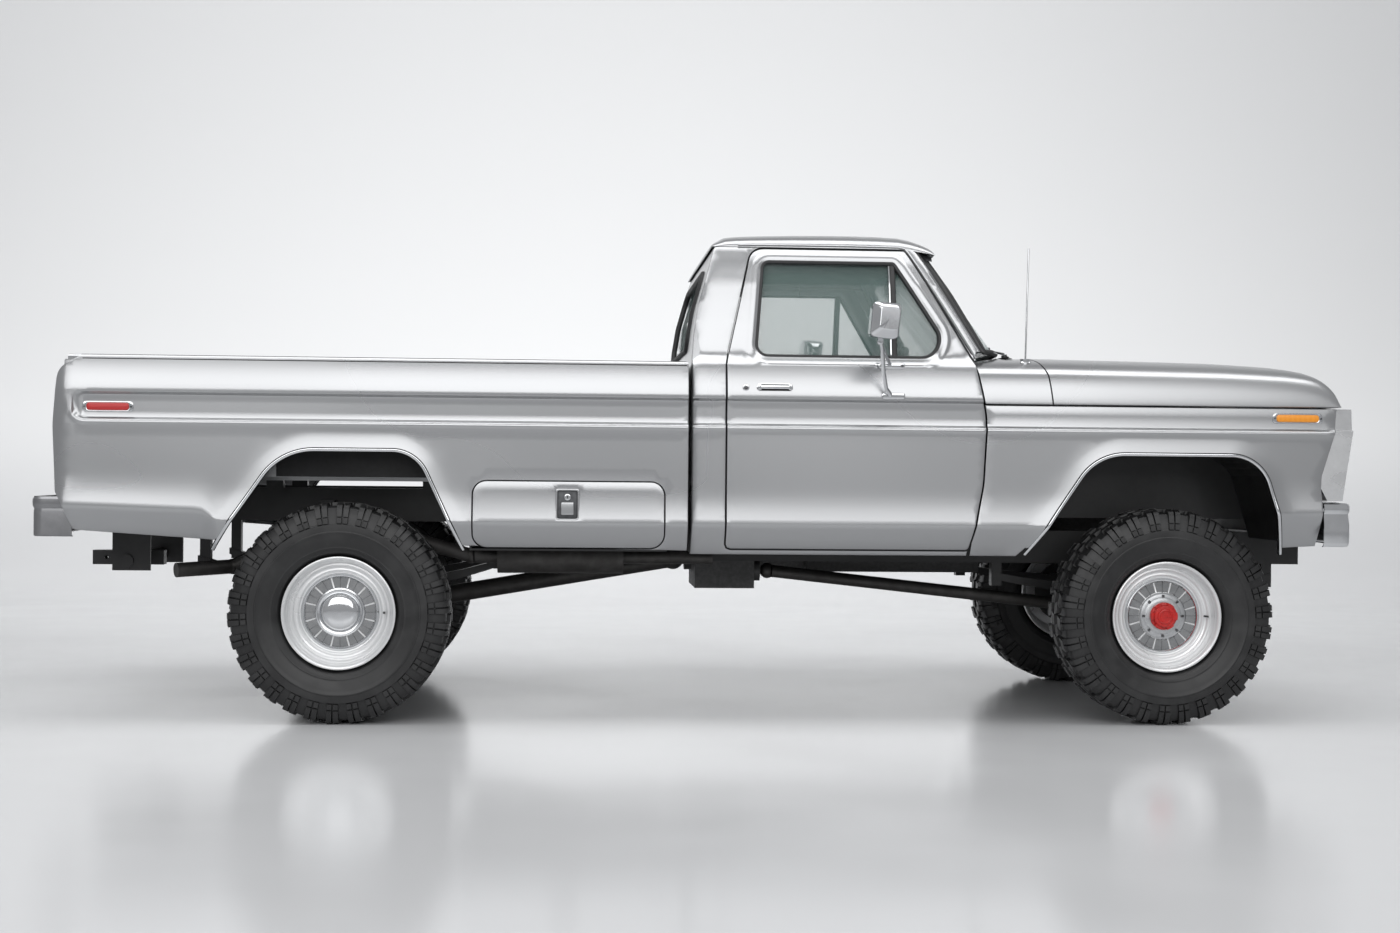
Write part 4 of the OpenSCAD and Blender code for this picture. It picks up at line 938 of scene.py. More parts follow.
cab_back_z, cab_back_x = [800, 900, 1010, 1265], [-1970, -1961, -1943, -1872]


def cab_back_depth(y, z):
    """The cab's back leans forward above the belt and rolls in at its corners; the channel runs on across it."""
    y, z = np.asarray(y, float), np.asarray(z, float)
    x = np.interp(z, cab_back_z, cab_back_x)
    belt = -7 * np.exp(-(((z - channel_z) / 70) ** 2))
    corner = np.clip((np.abs(y) - np.interp(z, [belt_z, eaves_z], [930, 770])) / 40, 0, 1)
    return -(front_x + x) + belt - 12 * corner**2


rear_glass = box_line(0, 1014, 556, 160, 55, 14)
cab_back_line = rounded([(-920, 4, 30), (920, 4, 30), (962, 250, 60), (975, 640, 200), (938, 790, 120),
                         (885, 950, 200), (806, 1264), (-806, 1264), (-885, 950, 200), (-938, 790, 120),
                         (-975, 640, 200), (-962, 250, 60)])
end_sheet("cab_back_skin", "chassis", cab_back_line, cab_back_depth, holes=[rear_glass], wall=30,
          replaced=["cab_back"])


def tube(name, body, path, radius, material, closed=False, sides=10, flat=1.0):
    """A round or flattened bar along points in mm, z above the sill."""
    path = [Vector((x, y, z + sill)) for x, y, z in path]
    n, points, faces = len(path), [], []
    normal = None
    for i, p in enumerate(path):
        ahead = path[(i + 1) % n] if closed or i < n - 1 else p
        behind = path[i - 1] if closed or i else p
        run = (ahead - behind).normalized()
        if normal is None:
            normal = run.orthogonal().normalized() if abs(run.z) > 0.9 else run.cross(Vector((0, 0, 1))).normalized()
        normal = (normal - run * normal.dot(run)).normalized()
        other = run.cross(normal)
        for k in range(sides):
            a = 2 * math.pi * k / sides
            points.append((p + normal * radius * math.cos(a) + other * radius * flat * math.sin(a)) * MM)
    for i in range(n if closed else n - 1):
        for k in range(sides):
            a, b = i * sides, ((i + 1) % n) * sides
            faces.append((a + k, a + (k + 1) % sides, b + (k + 1) % sides, b + k))
    if not closed:
        faces += [tuple(range(sides))[::-1], tuple((n - 1) * sides + k for k in range(sides))]
    obj = mesh_object(name, points, faces, material, body, 50)
    turn_outwards(obj.data)
    return obj


rear_edge = [(front_x + float(np.interp(z, cab_back_z, cab_back_x)) - 1, y, z)
             for y, z in box_line(0, 1014, 560, 164, 58, 20)]
tube("rear_glass_gasket", "chassis", rear_edge, 13, rubber, closed=True)
screen = [(y, 842.0) for y in np.linspace(-835, 835, 33)]
screen += [(835 - 96 * w, 842 + 414 * w) for w in np.linspace(0.06, 0.97, 14)]
screen += [(y, 1259.0) for y in np.linspace(735, -735, 29)]
screen += [(-739 - 96 * w, 1256 - 414 * w) for w in np.linspace(0.03, 0.94, 14)]
for name, ahead, radius, material, sides, slot in (("gasket", 2, 12, rubber, 10, None),
                                                   ("bright_bead", 13, 2.6, chrome, 6, "chrome")):
    tube(f"windshield_{name}", "chassis", [(front_x + glass_x(y, z) + ahead, y, z) for y, z in screen], radius,
         material, closed=True, sides=sides)
windshield_glass, shader, place = finish_of("windshield_glass", (0.50, 0.60, 0.58), 0.03)
shade_band = place.axis("Z").ramp(1.80, 1.96)
drive(shader, "Base Color", shade_band.mix((0.42, 0.50, 0.49, 1), (0.12, 0.30, 0.32, 1)))
glaze = place.node("ShaderNodeLayerWeight", {"Blend": 0.3}, out="Facing")
drive(shader, "Alpha", glaze.ramp(0.1, 0.9, 0.24, 0.62) + shade_band * 0.25)
dress(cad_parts["windshield"], windshield_glass)

# The pillars close the gap between the bowed glass and the cab's sides.
for s, side in SIDES:
    rows = []
    for w in np.linspace(0, 1, 16):
        z = 838 + 428 * w
        inner, outer = 852 - 106 * w, float(side_face(front_x - 900, z)) - 1
        xi = glass_x(min(inner, 850), z) - 4
        xo = float(np.interp(z, [838, 846, 1266], [-792, -797, -1051]))
        rows.append([(front_x + xi - 14, s * (inner - 14), z), (front_x + xi + 4, s * inner, z),
                     (front_x + xi * 0.75 + xo * 0.25 + 12, s * (inner * 0.7 + outer * 0.3 + 1), z),
                     (front_x + xi * 0.3 + xo * 0.7 + 8, s * (inner * 0.25 + outer * 0.75 + 2), z),
                     (front_x + xo + 2, s * (outer - 1.5), z), (front_x + xo - 12, s * outer, z)])
    shell(f"windshield_pillar_{side}", "chassis", rows, 3, silver)
    shell(f"windshield_seal_{side}", "chassis", [[(x + 3, y + s * 2, z) for x, y, z in row[:4]] for row in rows], 4,
          rubber)
drip = at(front_x, [(-806, 812), (-850, 886), (-920, 1003), (-990, 1120), (-1050, 1220), (-1070, 1251),
                    (-1083, 1266), (-1110, 1272), (-1300, 1274), (-1500, 1274), (-1700, 1273), (-1790, 1272)])
drip_line = np.array([Vector(p).lerp(Vector(q), k / 6)[:] for p, q in zip(drip, drip[1:]) for k in range(6)])
drip_profile = [(-4, -14), (-4, 4), (-2, 7), (1, 8), (4, 5), (4, -14)]
trim("drip_rail", "chassis", drip_line, drip_profile, side_face, silver, closed=False)
trim("drip_shadow", "chassis", drip_line, [(4, -12), (4, 0.8), (8, 0.8), (8, -12)], side_face, rubber, closed=False)


# Bed: double-walled sides of painted steel with a flat rail, and a ribbed floor between the wheel houses. The
# pressed tailgate swings on trunnions between the rear posts, which hold the upright tail lamps.
for s, side in SIDES:
    rows = []
    for x in np.linspace(rear_x - 1068, bed_front - 2, 60):
        ends = min(1, (x - rear_x + 1070) / 40, (bed_front - x) / 40)
        rail_top = [(half_w - 44, 760), (half_w - 42, 771), (half_w - 46, 775), (half_w - 56, 777), (864, 777)]
        inner_wall = [(855, 775), (851, 769), (850, 755), (850, 690), (856 - 6 * (1 - ends), 660), (856, 420),
                      (850, 395), (850, 298)]
        rows.append([(x, s * y, z) for y, z in rail_top + inner_wall])
    shell(f"bed_wall_{side}", "chassis", rows, 3, silver)
    # A black sheet inside the rear arch: painted shade where the wheelhouse lies in shadow.
    arch_shade_rows = [[(x, s * 872, z) for z in (300, 380, 455)] for x in np.linspace(rear_x - 262, rear_x + 340, 12)]
    shell(f"rear_arch_liner_{side}", "chassis", arch_shade_rows, 2, black_and_painted_shade)
    trim(f"bed_rail_line_{side}", "chassis", [(x, 763) for x in np.linspace(rear_x - 1010, bed_front - 6, 60)],
         [(-2, -5), (-2, 0.7), (2, 0.7), (2, -5)], side_face, black_and_painted_shade, closed=False, sides=(s,))
    rail = [(x, s * (half_w - 72), 778.5) for x in np.linspace(rear_x - 1020, bed_front - 8, 40)]
    tube(f"bed_rail_cap_{side}", "chassis", rail, 23, black_and_painted_shade, flat=0.13, sides=12)
    # A black sheet at the bed's front edge: painted shade in the gap between cab and bed.
    gap_shade_section = [(half_w - 66, 4), (half_w - 20, 128), (half_w - 8, 300), (half_w - 6, 500), (half_w - 22, 576),
              (half_w - 6, 650), (half_w - 42, 766), (850, 766), (850, 300)]
    rows = [[(x, s * y, z) for y, z in gap_shade_section] for x in (bed_front - 3.5, bed_front - 3)]
    shell(f"bed_front_flange_{side}", "chassis", rows, 2, black_and_painted_shade)
for k in range(9):
    y = -480 + 120 * k
    rib = [[(x, y + a, 310 + h) for a, h in ((-34, -1), (-24, 6), (24, 6), (34, -1))]
           for x in np.linspace(rear_x - 1045, bed_front - 34, 24)]
    shell(f"bed_rib_{k}", "chassis", rib, 0, silver)


def end_depth(y, z):
    """The bed's rear edge follows the curve of its side."""
    x = np.interp(z, [80, 190, 235, 500, 720, 773], [-1049, -1083, -1110, -1121, -1104, -1060])
    return -(rear_x + x) - 4 - 26 * np.clip((np.abs(y) - 955) / 30, 0, 1) ** 2


def gate_depth(y, z):
    """The tailgate's outer face, its wide middle panel sunk 11 mm inside a raised border."""
    y, z = np.asarray(y, float), np.asarray(z, float)
    ridge = np.minimum(1, np.maximum(0, np.maximum(np.abs(y) - 735, np.abs(z - 530) - 150) / 22))
    return -(rear_x - 1087) + 25 - 11 * (1 - ridge * ridge * (3 - 2 * ridge))


red_lens, shader, place = finish_of("red_lens", (0.42, 0.006, 0.008), 0.28, coat=0.1)
flutes = place.waves(60.0, "Z")
drive(shader, "Base Color", flutes.ramp(0.2, 0.8).mix((0.30, 0.008, 0.010, 1), (0.62, 0.03, 0.03, 1)))
emboss(shader, flutes, 0.3, 0.001)
amber_lens, shader, place = finish_of("amber_lens", (0.85, 0.26, 0.01), 0.28, coat=0.1)
flutes = place.waves(60.0, "X")
drive(shader, "Base Color", flutes.ramp(0.2, 0.8).mix((0.75, 0.20, 0.01, 1), (0.95, 0.42, 0.04, 1)))
emboss(shader, flutes, 0.3, 0.001)
tail_y, tail_z = 925, 515
for s, side in SIDES:
    lamp = box_line(s * tail_y, tail_z, 27, 175, 14)
    post = rounded([(s * 849, 300), (s * 950, 215, 20), (s * 982, 300, 30), (s * 985, 600, 60), (s * 968, 745, 30),
                    (s * 849, 750)])
    end_sheet(f"bed_end_{side}", "chassis", post, end_depth, holes=[lamp], spacing=24)
    end_sheet(f"tail_lens_{side}", "chassis", lamp,
              lambda y, z: end_depth(y, z) - 3 + 5 * np.cos((np.abs(y) - tail_y) / 27), spacing=14, wall=12,
              material=red_lens, replaced=["tail_lights"])
    end_sheet(f"tail_lamp_ring_{side}", "chassis", box_line(s * tail_y, tail_z, 31, 179, 17),
              lambda y, z: end_depth(y, z) + 3, holes=[box_line(s * tail_y, tail_z, 25, 173, 13)], spacing=14, edge=2,
              wall=6, material=chrome)
gate_rows = [[(y, z) for y in np.arange(-840, 850, 40)] for z in (360, 372, 382, 392, 668, 678, 688, 700)]
gate_rows += [[(s * y, z) for z in range(310, 765, 30)] for s in (-1, 1) for y in (735, 742, 750, 757)]
end_sheet("tailgate_skin", "tailgate", box_line(0, 533, 843, 233, 12, 20), gate_depth, lines=gate_rows, wall=48,
          replaced=["tailgate"])
end_sheet("tailgate_handle", "tailgate", box_line(0, 722, 95, 22, 12), lambda y, z: gate_depth(0, 760) + 5 + 0 * y,
          spacing=14, wall=8, material=chrome)
dress(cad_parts["bed_floor"], silver)


# Arch mouldings, marker lamps and mirrors: bright trim on the body sides. The mouldings are rolled strips screwed
# round the arch lips; each mirror stands off its door on a plated strut and arm.
def arch_trim(name, arch):
    """A bright strip round a wheel arch, open at the sill, with a dark line of shadow beside it."""
    keep = arch[arch[:, 1] > 2]
    start = int(np.argmax(np.linalg.norm(np.roll(keep, 1, 0) - keep, axis=1)))
    line = np.roll(keep, -start, 0)
    trim(name, "chassis", line, [(-8, -16), (-8, 0), (-6, 3), (0, 5), (4, 4), (5, 1), (5, -4), (-4, -4), (-4, -16)],
         side_face, chrome, closed=False)
    trim(name + "_shadow", "chassis", line, [(5, -6), (5, 0.8), (8.5, 0.8), (8.5, -6)], side_face, black_and_painted_shade,
         closed=False)


arch_trim("front_arch_trim", front_arch)
arch_trim("rear_arch_trim", rear_arch)
for s, side in SIDES:
    for name, x, z, half, lens, slot in (("front_marker", front_x + 525, channel_z, 100, amber_lens, "lamp_glass"),
                                         ("rear_marker", rear_x - 905, 572, 94, red_lens, "red_lens")):
        y = float(side_face(x, z))
        plate(f"{name}_bezel_{side}", "chassis", box_line(x, z, half + 6, 21, 15), y, 5, chrome, 2.5, s,
              holes=[box_line(x, z, half - 12, 14, 10)])
        plate(f"{name}_lens_{side}", "chassis", box_line(x, z, half - 11, 15, 11), y, 10, lens, 5, s, 1.5)
        for k in (-1, 1):
            screw = f"{name}_screw_{'rear' if k < 0 else 'front'}_{side}"
            plate(screw, "chassis", box_line(x + k * (half - 3), z, 4.6, 4.6, 4.4, 3), y + 5, 2, dark_steel, 1, s)
    door = f"{side}_door"
    mx = front_x - 1227
    head = rounded([(mx - 62, 874, 18), (mx + 50, 862, 22), (mx + 66, 1004, 22), (mx - 50, 1012, 18)], 8)
    centre = head.mean(0)
    rows = []
    for out, size in ((266, 0.62), (264.5, 0.66), (243, 0.975), (238, 1.0), (200, 1.0), (150, 0.95), (105, 0.84),
                      (84, 0.66), (77, 0.40), (76, 0.02)):
        off = 34 * (1 - size) if out > 230 else 12 * (1 - size)
        rows.append([(centre[0] + (p[0] - centre[0]) * size + off, s * (half_w + out),
                      centre[1] + (p[1] - centre[1]) * size + off * 0.6) for p in head])
    rows.insert(0, [(centre[0] + 13, s * (half_w + 266), centre[1] + 8)] * len(head))
    shell(f"mirror_head_{side}", door, rows, 0, chrome, [f"{side}_mirror"], closed=True, angle=20)
    strut = [(-6, 120, 884), (2, 112, 858), (10, 92, 840), (22, 62, 740), (38, 30, 676), (60, 6, 652)]
    arm = [(8, 96, 846), (40, 30, 800), (62, -26, 779)]
    for part, path, radius, flat in (("strut", strut, 11, 0.6), ("arm", arm, 7, 1.0)):
        tube(f"mirror_{part}_{side}", door, [(mx + x, s * (half_w + y), z) for x, y, z in path], radius, chrome,
             flat=flat)
    for part, foot in (("upper", (mx + 62, 773, 62, 12, 10)), ("lower", (mx + 72, 648, 48, 13, 11))):
        plate(f"mirror_{part}_foot_{side}", door, box_line(*foot), float(side_face(mx, foot[1])), 9, chrome, 4, s)
    for k, x in enumerate((mx + 20, mx + 104)):
        plate(f"mirror_bolt_{k}_{side}", door, box_line(x + 8, 773, 6, 6, 5.6, 3), float(side_face(mx, 773)) + 9, 5,
              dark_steel, 1.5, s)
    plate(f"mirror_nut_{side}", door, box_line(mx - 2, 862, 13, 13, 12.5, 4), half_w + 108, 22, chrome, 3, s)


# Bumpers: plated steel in front, its ends wrapped round the corners, and a painted step bumper behind. Both are
# folded from plate; the rear one has black treads and a step in its middle, on two arms.
def swept(name, body, plan, section, material, replaced=(), thick=5):
    """Sweeps a section of (out, z) points along a line in plan; out is to the right of the way the line runs."""
    line = np.array(plan, float)
    before, after = np.vstack([2 * line[0] - line[1], line[:-1]]), np.vstack([line[1:], 2 * line[-1] - line[-2]])
    run = after - before
    run /= np.linalg.norm(run, axis=1)[:, None]
    out = np.stack([run[:, 1], -run[:, 0]], 1)
    rows = [[(p[0] + n[0] * o, p[1] + n[1] * o, z) for o, z in section] for p, n in zip(line, out)]
    return shell(name, body, rows, thick, material, replaced)


def smooth_line(points, radius, step=12):
    """Rounds the corners of an open line."""
    line = [Vector(points[0])]
    for a, b, c in zip(points, points[1:], points[2:]):
        a, b, c = Vector(a), Vector(b), Vector(c)
        r = min(radius, (a - b).length / 2.1, (c - b).length / 2.1)
        s, e = b + (a - b).normalized() * r, b + (c - b).normalized() * r
        line += [s.lerp(b, t).lerp(b.lerp(e, t), t) for t in np.linspace(0, 1, max(3, int(r / step) + 2))]
    line.append(Vector(points[-1]))
    return [tuple(p) for p in line]


front_plan = smooth_line(at(front_x, [(638, -995), (728, -992), (752, -972), (784, -858), (830, -520), (845, 0),
                                      (830, 520), (784, 858), (752, 972), (728, 992), (638, 995)]), 60)
bumper_section = [(-16, 48), (-5, 49), (0, 54), (3, 66), (4.5, 100), (4, 140), (0, 172), (-1, 184), (3, 191),
                  (4.5, 202), (4, 214), (0, 224), (-8, 229), (-22, 230)]
swept("front_bumper_bar", "chassis", front_plan, bumper_section, chrome, ["front_bumper"])
tread_rows = [(x, 208) for x in np.linspace(rear_x - 1216, rear_x - 1066, 5)]
arm_rows = [(rear_x - 1214, 100), (rear_x - 1214, 190), (rear_x - 1058, 190), (rear_x - 1058, 100)]
step_paint = grained("step_bumper_paint", (0.27, 0.272, 0.28), (0.24, 0.242, 0.25), 0.32, metal=0.85, scale=300,
                     depth=0.02, spread=0.02)
step_section = [(-18, 52), (-4, 53), (0, 58), (0, 150), (-2, 164), (4, 176), (5, 190), (4, 203), (-3, 211),
                (-18, 213)]
for s, side in SIDES:
    plan = smooth_line([(rear_x - 1064, s * 898), (rear_x - 1222, s * 898), (rear_x - 1222, s * 176)], 42)
    section = [(s * o, z) for o, z in step_section]
    swept(f"step_bumper_{side}", "chassis", plan, section, step_paint, ["rear_bumper"], 5)
    for part, rows, y0, y1, thick in (("tread", tread_rows, 184, 880, 5), ("arm", arm_rows, 380, 420, 4)):
        shell(f"step_{part}_{side}", "chassis", [[(x, s * y0, z), (x, s * y1, z)] for x, z in rows], thick, black_and_painted_shade)
shell("ball_step", "chassis", [[(rear_x + x, y, 95) for y in (-186, 186)] for x in (-1146, -1070)], 12, silver)


# Front end: a pressed bright surround holds a cross-bar grille and two round sealed-beam lamps in plated rings.
# The lamps' pressed glass has fine flutes, and each sits in a steel bowl behind its ring.
dress(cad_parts["grille"], grained("bright_surround", (0.66, 0.665, 0.67), (0.60, 0.605, 0.61), 0.26, metal=0.7,
                                        scale=60, depth=0.03))
lamp_glass, shader, place = finish_of("lamp_glass", (0.80, 0.84, 0.87), 0.08, coat=0.6)
flutes = place.waves(28.0, "Y", 0.4)
drive(shader, "Base Color", flutes.ramp(0.1, 0.9).mix((0.50, 0.54, 0.57, 1), (0.86, 0.88, 0.90, 1)))
drive(shader, "Metallic", flutes.ramp(0.1, 0.9, 0.1, 0.5))
emboss(shader, flutes + place.waves(9.0, "Z") * 0.7, 0.5, 0.002)


def turned_to_front(name, body, centre, profile, material, turns=56):
    """A part turned about an axis along X: the profile's points are (ahead, radius)."""
    mesh = clean_mesh(name, *lathe(profile, turns))
    mesh.transform(Matrix.Translation(Vector(centre) * MM) @ Matrix.Rotation(math.radians(90), 4, "Z"))
    return mounted(name, mesh, body, material)


lens_profile = [(40, 0.01), (40, 84), (66, 87), (74, 80), (80, 60), (84, 34), (86, 0.01)]
ring_profile = [(48, 86), (80, 86), (86, 89), (87.5, 93), (84, 97.5), (52, 97.5)]
bowl_profile = [(4, 0.01), (4, 40), (30, 90), (46, 97), (50, 97), (34, 84), (12, 38), (10, 0.01)]
for s, side in SIDES:
    lamp_centre = (front_x + 650, s * 770, sill + 430)
    lens = turned_to_front(f"lamp_lens_{side}", "chassis", lamp_centre, lens_profile, lamp_glass)
    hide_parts("headlights")
    turned_to_front(f"lamp_ring_{side}", "chassis", lamp_centre, ring_profile, chrome)
    turned_to_front(f"lamp_bowl_{side}", "chassis", lamp_centre, bowl_profile, dark_steel)
bars = []
for k in range(9):
    z = 345 + 25.5 * k
    bars.append((f"grille_bar_{k}", [[(front_x + x, y, z + dz) for x, dz in ((672, 3), (700, 3), (703, 0), (700, -3),
            (672, -3))] for y in (-618, -300, 0, 300, 618)]))
for k in range(13):
    y = -552 + 92 * k
    bars.append((f"grille_upright_{k}", [[(front_x + x, y + dy, z) for x, dy in ((668, 3), (694, 3), (697, 0),
            (694, -3), (668, -3))] for z in (331, 400, 480, 559)]))
for name, rows in bars:
    shell(name, "chassis", [row + row[:1] for row in rows], 0, chrome)
# A black sheet behind the grille bars: painted shade in the grille's openings.
shell("grille_shade_sheet", "chassis", [[(front_x + 655, y, z) for y in (-622, 0, 622)] for z in (328, 440, 562)], 2,
      black_and_painted_shade)

# Mast and wipers: a thin steel radio mast on a plated foot, and two black wiper arms with rubber blades. All are
# bolted to the cowl in front of the windshield.
dress(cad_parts["antenna"], chrome)
mast_y = -half_w + 130
mast_base = [[(front_x - 585 + 30 * r * math.cos(a), mast_y + 20 * r * math.sin(a), z) for a in np.linspace(0,
        2 * math.pi, 24, endpoint=False)] for r, z in ((1, 786), (1, 797), (0.8, 803), (0.5, 808), (0.2, 811))]
shell("mast_base", "chassis", mast_base, 0, chrome, closed=True)
for s, side in SIDES:
    px = front_x - 610
    y0 = -560 if s < 0 else 140
    arm = [(px + 6, y0, 838), (px + 2, y0, 850), (px - 8, y0 + 60, 858), (px - 24, y0 + 190, 872),
           (px - 34, y0 + 300, 880)]
    tube(f"wiper_arm_{side}", "chassis", arm, 5, dark_steel)
    tube(f"wiper_pivot_{side}", "chassis", [(px + 8, y0, 826), (px + 6, y0, 838), (px + 4, y0, 846)], 13, dark_steel)
    blade = [(front_x + glass_x(y, 872) + 16, y, 872 + 10 * (y - y0) / 400) for y in np.linspace(y0 + 60, y0 + 470,
            12)]
    tube(f"wiper_blade_{side}", "chassis", blade, 5, rubber, flat=1.6)
tube("cowl_wiper_hump", "chassis", [(front_x - 610, y, 832) for y in np.linspace(-640, 640, 16)], 10, black_and_painted_shade,
     flat=0.4)


# Cab inside: a padded bench in grey cloth with sewn channels on a steel box. The dash, the headliner and the door
# panels are dark vinyl, with round gauges in a steel bezel and plated winders on the doors.
vinyl = grained("dark_vinyl", (0.060, 0.062, 0.066), (0.036, 0.037, 0.040), 0.5, scale=110, depth=0.35)
cloth_finish, shader, place = finish_of("bench_cloth", (0.15, 0.155, 0.165), 0.92)
shader.inputs["Sheen Weight"].default_value = 0.35
weave = place.waves(190.0, "Y", 0.6) * place.waves(170.0, "X", 0.6)
drive(shader, "Base Color", (weave * 0.5 + place.noise(14.0) * 0.5).mix((0.10, 0.104, 0.112, 1),
        (0.21, 0.215, 0.225, 1)))
emboss(shader, weave + place.noise(400.0) * 0.3, 0.35, 0.001)


most_puff, seam_depth, seam_width = 0.010, 0.007, 9


def cushion(name, outline, half, channels):
    """A crowned pad: an outline in x and z drawn out to each side, puffed by a cloth simulation, then sewn."""
    outline = turned_left(rounded(at(front_x, outline), 30))
    centre = outline.mean(0)
    ys = np.linspace(-half, half, 35)
    rows = [[(centre[0], -half, centre[1])] * len(outline)]
    for y in ys:
        pull = 1 - 0.10 * max(0, (abs(y) - half + 70) / 70) ** 2
        rows.append([(centre[0] + (p[0] - centre[0]) * pull, y,
                      centre[1] + (p[1] - centre[1]) * pull) for p in outline])
    rows.append([(centre[0], half, centre[1])] * len(outline))
    pad = shell(name, "chassis", rows, 0, cloth_finish, closed=True)
    remesh = pad.modifiers.new("even", "REMESH")
    remesh.mode, remesh.voxel_size = "VOXEL", 0.018
    pad.data = finished(pad)
    pad.modifiers.clear()
    count = len(pad.data.vertices)
    rest = np.zeros(count * 3)
    pad.data.vertices.foreach_get("co", rest)
    cloth = pad.modifiers.new("fill", "CLOTH")
    cloth.settings.use_pressure, cloth.settings.uniform_pressure_force = True, 4.0
    cloth.settings.effector_weights.gravity = 0
    for frame_number in range(1, 16):
        bpy.context.scene.frame_set(frame_number)
    puffed = np.zeros(count * 3)
    grown = pad.evaluated_get(bpy.context.evaluated_depsgraph_get())
    grown.data.vertices.foreach_get("co", puffed)
    pad.modifiers.clear()
    bpy.context.scene.frame_set(1)
    move = (puffed - rest).reshape(-1, 3)
    size = np.linalg.norm(move, axis=1)[:, None]
    rest = (rest.reshape(-1, 3) + move * np.minimum(1, most_puff / np.maximum(size, 1e-9))).ravel()
    pad.data.vertices.foreach_set("co", rest)
    finer = pad.modifiers.new("finer", "SUBSURF")
    finer.levels = 1
    pad.data = finished(pad)
    pad.modifiers.clear()
    count = len(pad.data.vertices)
    points, normal = np.zeros(count * 3), np.zeros(count * 3)
    pad.data.vertices.foreach_get("co", points)
    pad.data.vertices.foreach_get("normal", normal)
    points, normal = points.reshape(-1, 3), normal.reshape(-1, 3)
    seam = np.abs(points[:, 1:2] / MM - np.array(channels)).min(1)
    points -= normal * (seam_depth * np.exp(-((seam / seam_width) ** 2)))[:, None]
    pad.data.vertices.foreach_set("co", points.ravel())
    pad.data.shade_smooth()
    return dress(pad, cloth_finish)


seams = [-600 + 100 * k for k in range(13)]
seat = cushion("bench_cushion", [(-1700, 250, 30), (-1225, 250, 40), (-1215, 425, 60), (-1690, 385, 40)], 645, seams)
seat_back = cushion("bench_back", [(-1835, 255, 20), (-1715, 400, 40), (-1775, 855, 50), (-1856, 855, 40)], 645,
                    seams)
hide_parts("bench_seat")
shell("bench_box", "chassis", [[(front_x + x, y, z) for x, z in ((-1250, 126), (-1250, 232), (-1760, 232),
        (-1760, 126))] for y in (-630, 0, 630)], 4, vinyl)
dress(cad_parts["dashboard"], vinyl)
dress(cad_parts["steering_wheel"], vinyl)
dress(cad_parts["cab_floor"], grained("floor_mat", (0.04, 0.04, 0.042), (0.025, 0.025, 0.026), 0.85, scale=200,
                                           depth=0.5))
tube("dash_roll", "chassis", [(front_x - 905, y, 752) for y in np.linspace(-800, 800, 24)], 16, vinyl)
shell("gauge_bezel", "chassis", [[(front_x - 933, y, z) for y in (210, 220, 400, 580, 590)] for z in (662, 666, 700,
        736, 740)], 6, dark_steel)
for k, y in enumerate((270, 355, 445, 530)):
    turned_to_front(f"gauge_{k}", "chassis", (front_x - 936, y, sill + 701),
                    [(-8, 0.01), (-8, 28), (-5, 31), (0, 31), (0, 0.01)], chrome if k % 3 else dark_steel,
                    32)
headliner = []
for x, z in zip(roof_x[3:-4], roof_z[3:-4]):
    lining = [(front_x + x * 0.985 - 20, (half_w + a) * 0.955,
               max(1240, eaves_z + (b - eaves_z) * (z - eaves_z) / roof_rise - 30) - visor(x))
              for a, b in zip(roof_in, roof_up)]
    headliner.append(both_halves(lining))
shell("headliner", "chassis", headliner, 4, vinyl)
tube("rear_view_stem", "chassis", [(front_x - 975, 0, 1262), (front_x - 985, 0, 1225), (front_x - 1000, 0, 1195)], 6,
     dark_steel)
shell("rear_view_mirror", "chassis", [[(front_x - 1004 + dx, y, z) for y in np.linspace(-110, 110, 9)] for dx,
                                      z in ((6, 1150), (-4, 1156), (-6, 1195), (2, 1204))], 12, dark_steel)
trim_line = rounded(at(front_x, [(-1790, 60, 20), (-850, 60, 20), (-812, 300, 300), (-800, 560, 200), (-850, 790, 40),
                                 (-1790, 790, 40)]))
pressed("door_trim_panel", "door", trim_line, lambda x, z: side_face(x, z) - 49, spacing=60, wall=7, material=vinyl)
for s, side in SIDES:
    inner = half_w - 70
    pad = [(-6, 470), (-6, 520), (40, 524), (58, 514), (56, 486), (20, 470)]
    rows = [[(front_x + x, s * (inner - y), z) for y, z in pad] for x in (-1640, -1630, -1400, -1330, -1320)]
    shell(f"armrest_{side}", f"{side}_door", rows, 0, vinyl, closed=True)
    crank = [(-1180, 2, 480), (-1180, -26, 480), (-1130, -34, 430), (-1128, -60, 428)]
    release = [(-1480, 2, 600), (-1480, -18, 602), (-1400, -24, 606)]
    for part, path, radius in (("window_crank", crank, 8), ("inner_release", release, 9)):
        tube(f"{part}_{side}", f"{side}_door", [(front_x + x, s * (inner + y), z) for x, y, z in path], radius,
             chrome)


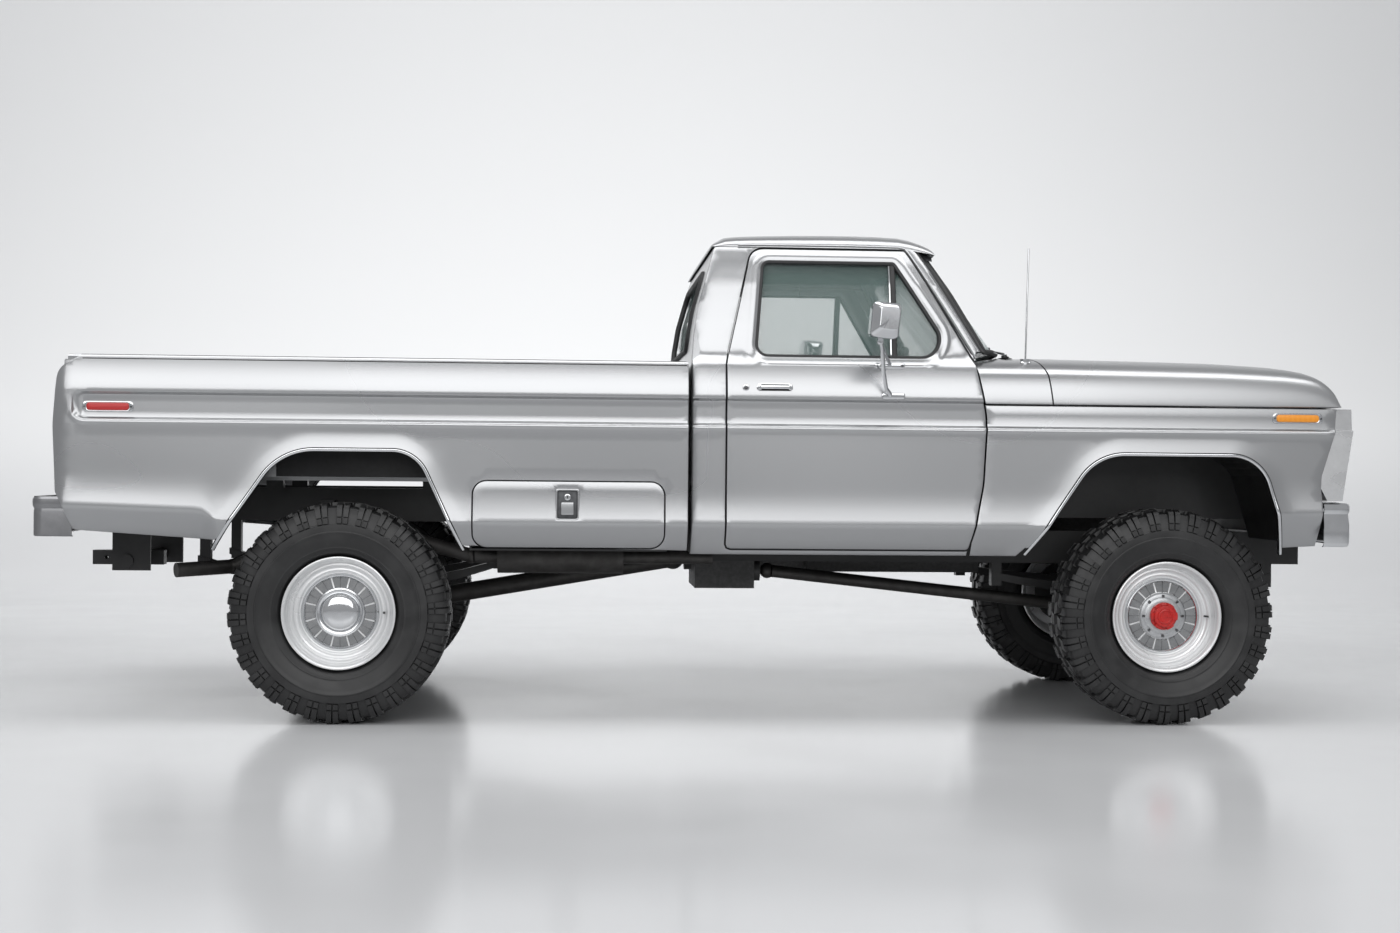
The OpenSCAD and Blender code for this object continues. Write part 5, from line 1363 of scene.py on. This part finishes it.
# Running gear: a welded black ladder frame on leaf springs, with two live axles held by U-bolts. The engine and
# the transfer case are castings, the exhaust is steel tube, and ribbed red rubber boots cover the front shock
# absorbers.
chassis_black = grained("chassis_black", (0.014, 0.014, 0.0145), (0.007, 0.007, 0.0075), 0.44, scale=30, depth=0.25,
                        coat=0.1)
axle_black = grained("axle_black", (0.020, 0.0205, 0.021), (0.010, 0.010, 0.0105), 0.5, scale=26, depth=0.35)
cast_iron = grained("cast_iron", (0.10, 0.10, 0.10), (0.05, 0.05, 0.05), 0.6, metal=0.5, scale=70, depth=0.5)
dull_steel = grained("dull_steel", (0.085, 0.082, 0.08), (0.04, 0.038, 0.036), 0.5, metal=0.7, scale=22, depth=0.2)
for names, material in ((("ladder_frame", "hitch_receiver", "fuel_tank", "radiator", "inner_fenders", "toolbox",
                          "leaf_springs", "shock_absorbers"), chassis_black),
                        (("front_axle", "rear_axle", "tie_rod", "right_knuckle", "left_knuckle"), axle_black),
                        (("engine", "transfer_case"), cast_iron), (("exhaust", "driveshafts"), dull_steel)):
    for node in names:
        dress(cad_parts[node], material)
boot = [(0, 30), (0, 38)]
for k in range(11):
    boot += [(10 + 22 * k, 45), (16 + 22 * k, 46), (21 + 22 * k, 37)]
boot += [(250, 36), (250, 30)]
for s, side in SIDES:
    mesh = clean_mesh("boot", *lathe(boot, 32), angle=60)
    foot = Matrix.Translation(Vector((front_x - 70, s * 488, sill + 10)) * MM)
    mesh.transform(foot @ Matrix.Rotation(math.radians(-90), 4, "X"))
    mounted(f"shock_boot_{side}", mesh, "chassis", red_cast)
    for axle, x in (("front", front_x), ("rear", rear_x)):
        for k in (-1, 1):
            hoop = [(x + k * 34, s * 400 + y, z) for y, z in ((-42, -144), (-42, -239), (-30, -256), (0, -260),
                                                              (30, -256), (42, -239), (42, -144))]
            tube(f"{axle}_u_bolt_{'a' if k < 0 else 'b'}_{side}", "chassis", hoop, 7, dull_steel)
for axle, x, y, radius, away_x in (("front", front_x, -250, 118, 1), ("rear", rear_x, 0, 150, -1)):
    cover = [(radius * 0.55, radius * 0.86), (radius * 0.62, radius * 0.86), (radius * 0.64, radius * 0.80),
             (radius * 0.8, radius * 0.66), (radius * 0.98, radius * 0.36), (radius * 1.03, 0.01),
             (radius * 0.5, 0.01)]
    bolt = clean_mesh("bolt", *arc_block(radius * 0.6, radius * 0.68, radius * 0.79, radius * 0.84, 2.6, 1, 1))
    bolts = round_the_axle("cover_bolts", bolt, 10, dull_steel)
    place_on_axle = Matrix.Translation(Vector((x, y, 444)) * MM) @ Matrix.Rotation(math.radians(90 * away_x), 4, "Z")
    for name, mesh, material, slot in (("diff_cover", clean_mesh("cover", *lathe(cover, 40)), axle_black,
                                        "black_frame"), ("cover_bolts", bolts, dull_steel, "steel")):
        mesh.transform(place_on_axle)
        mounted(f"{axle}_{name}", mesh, "chassis", material)
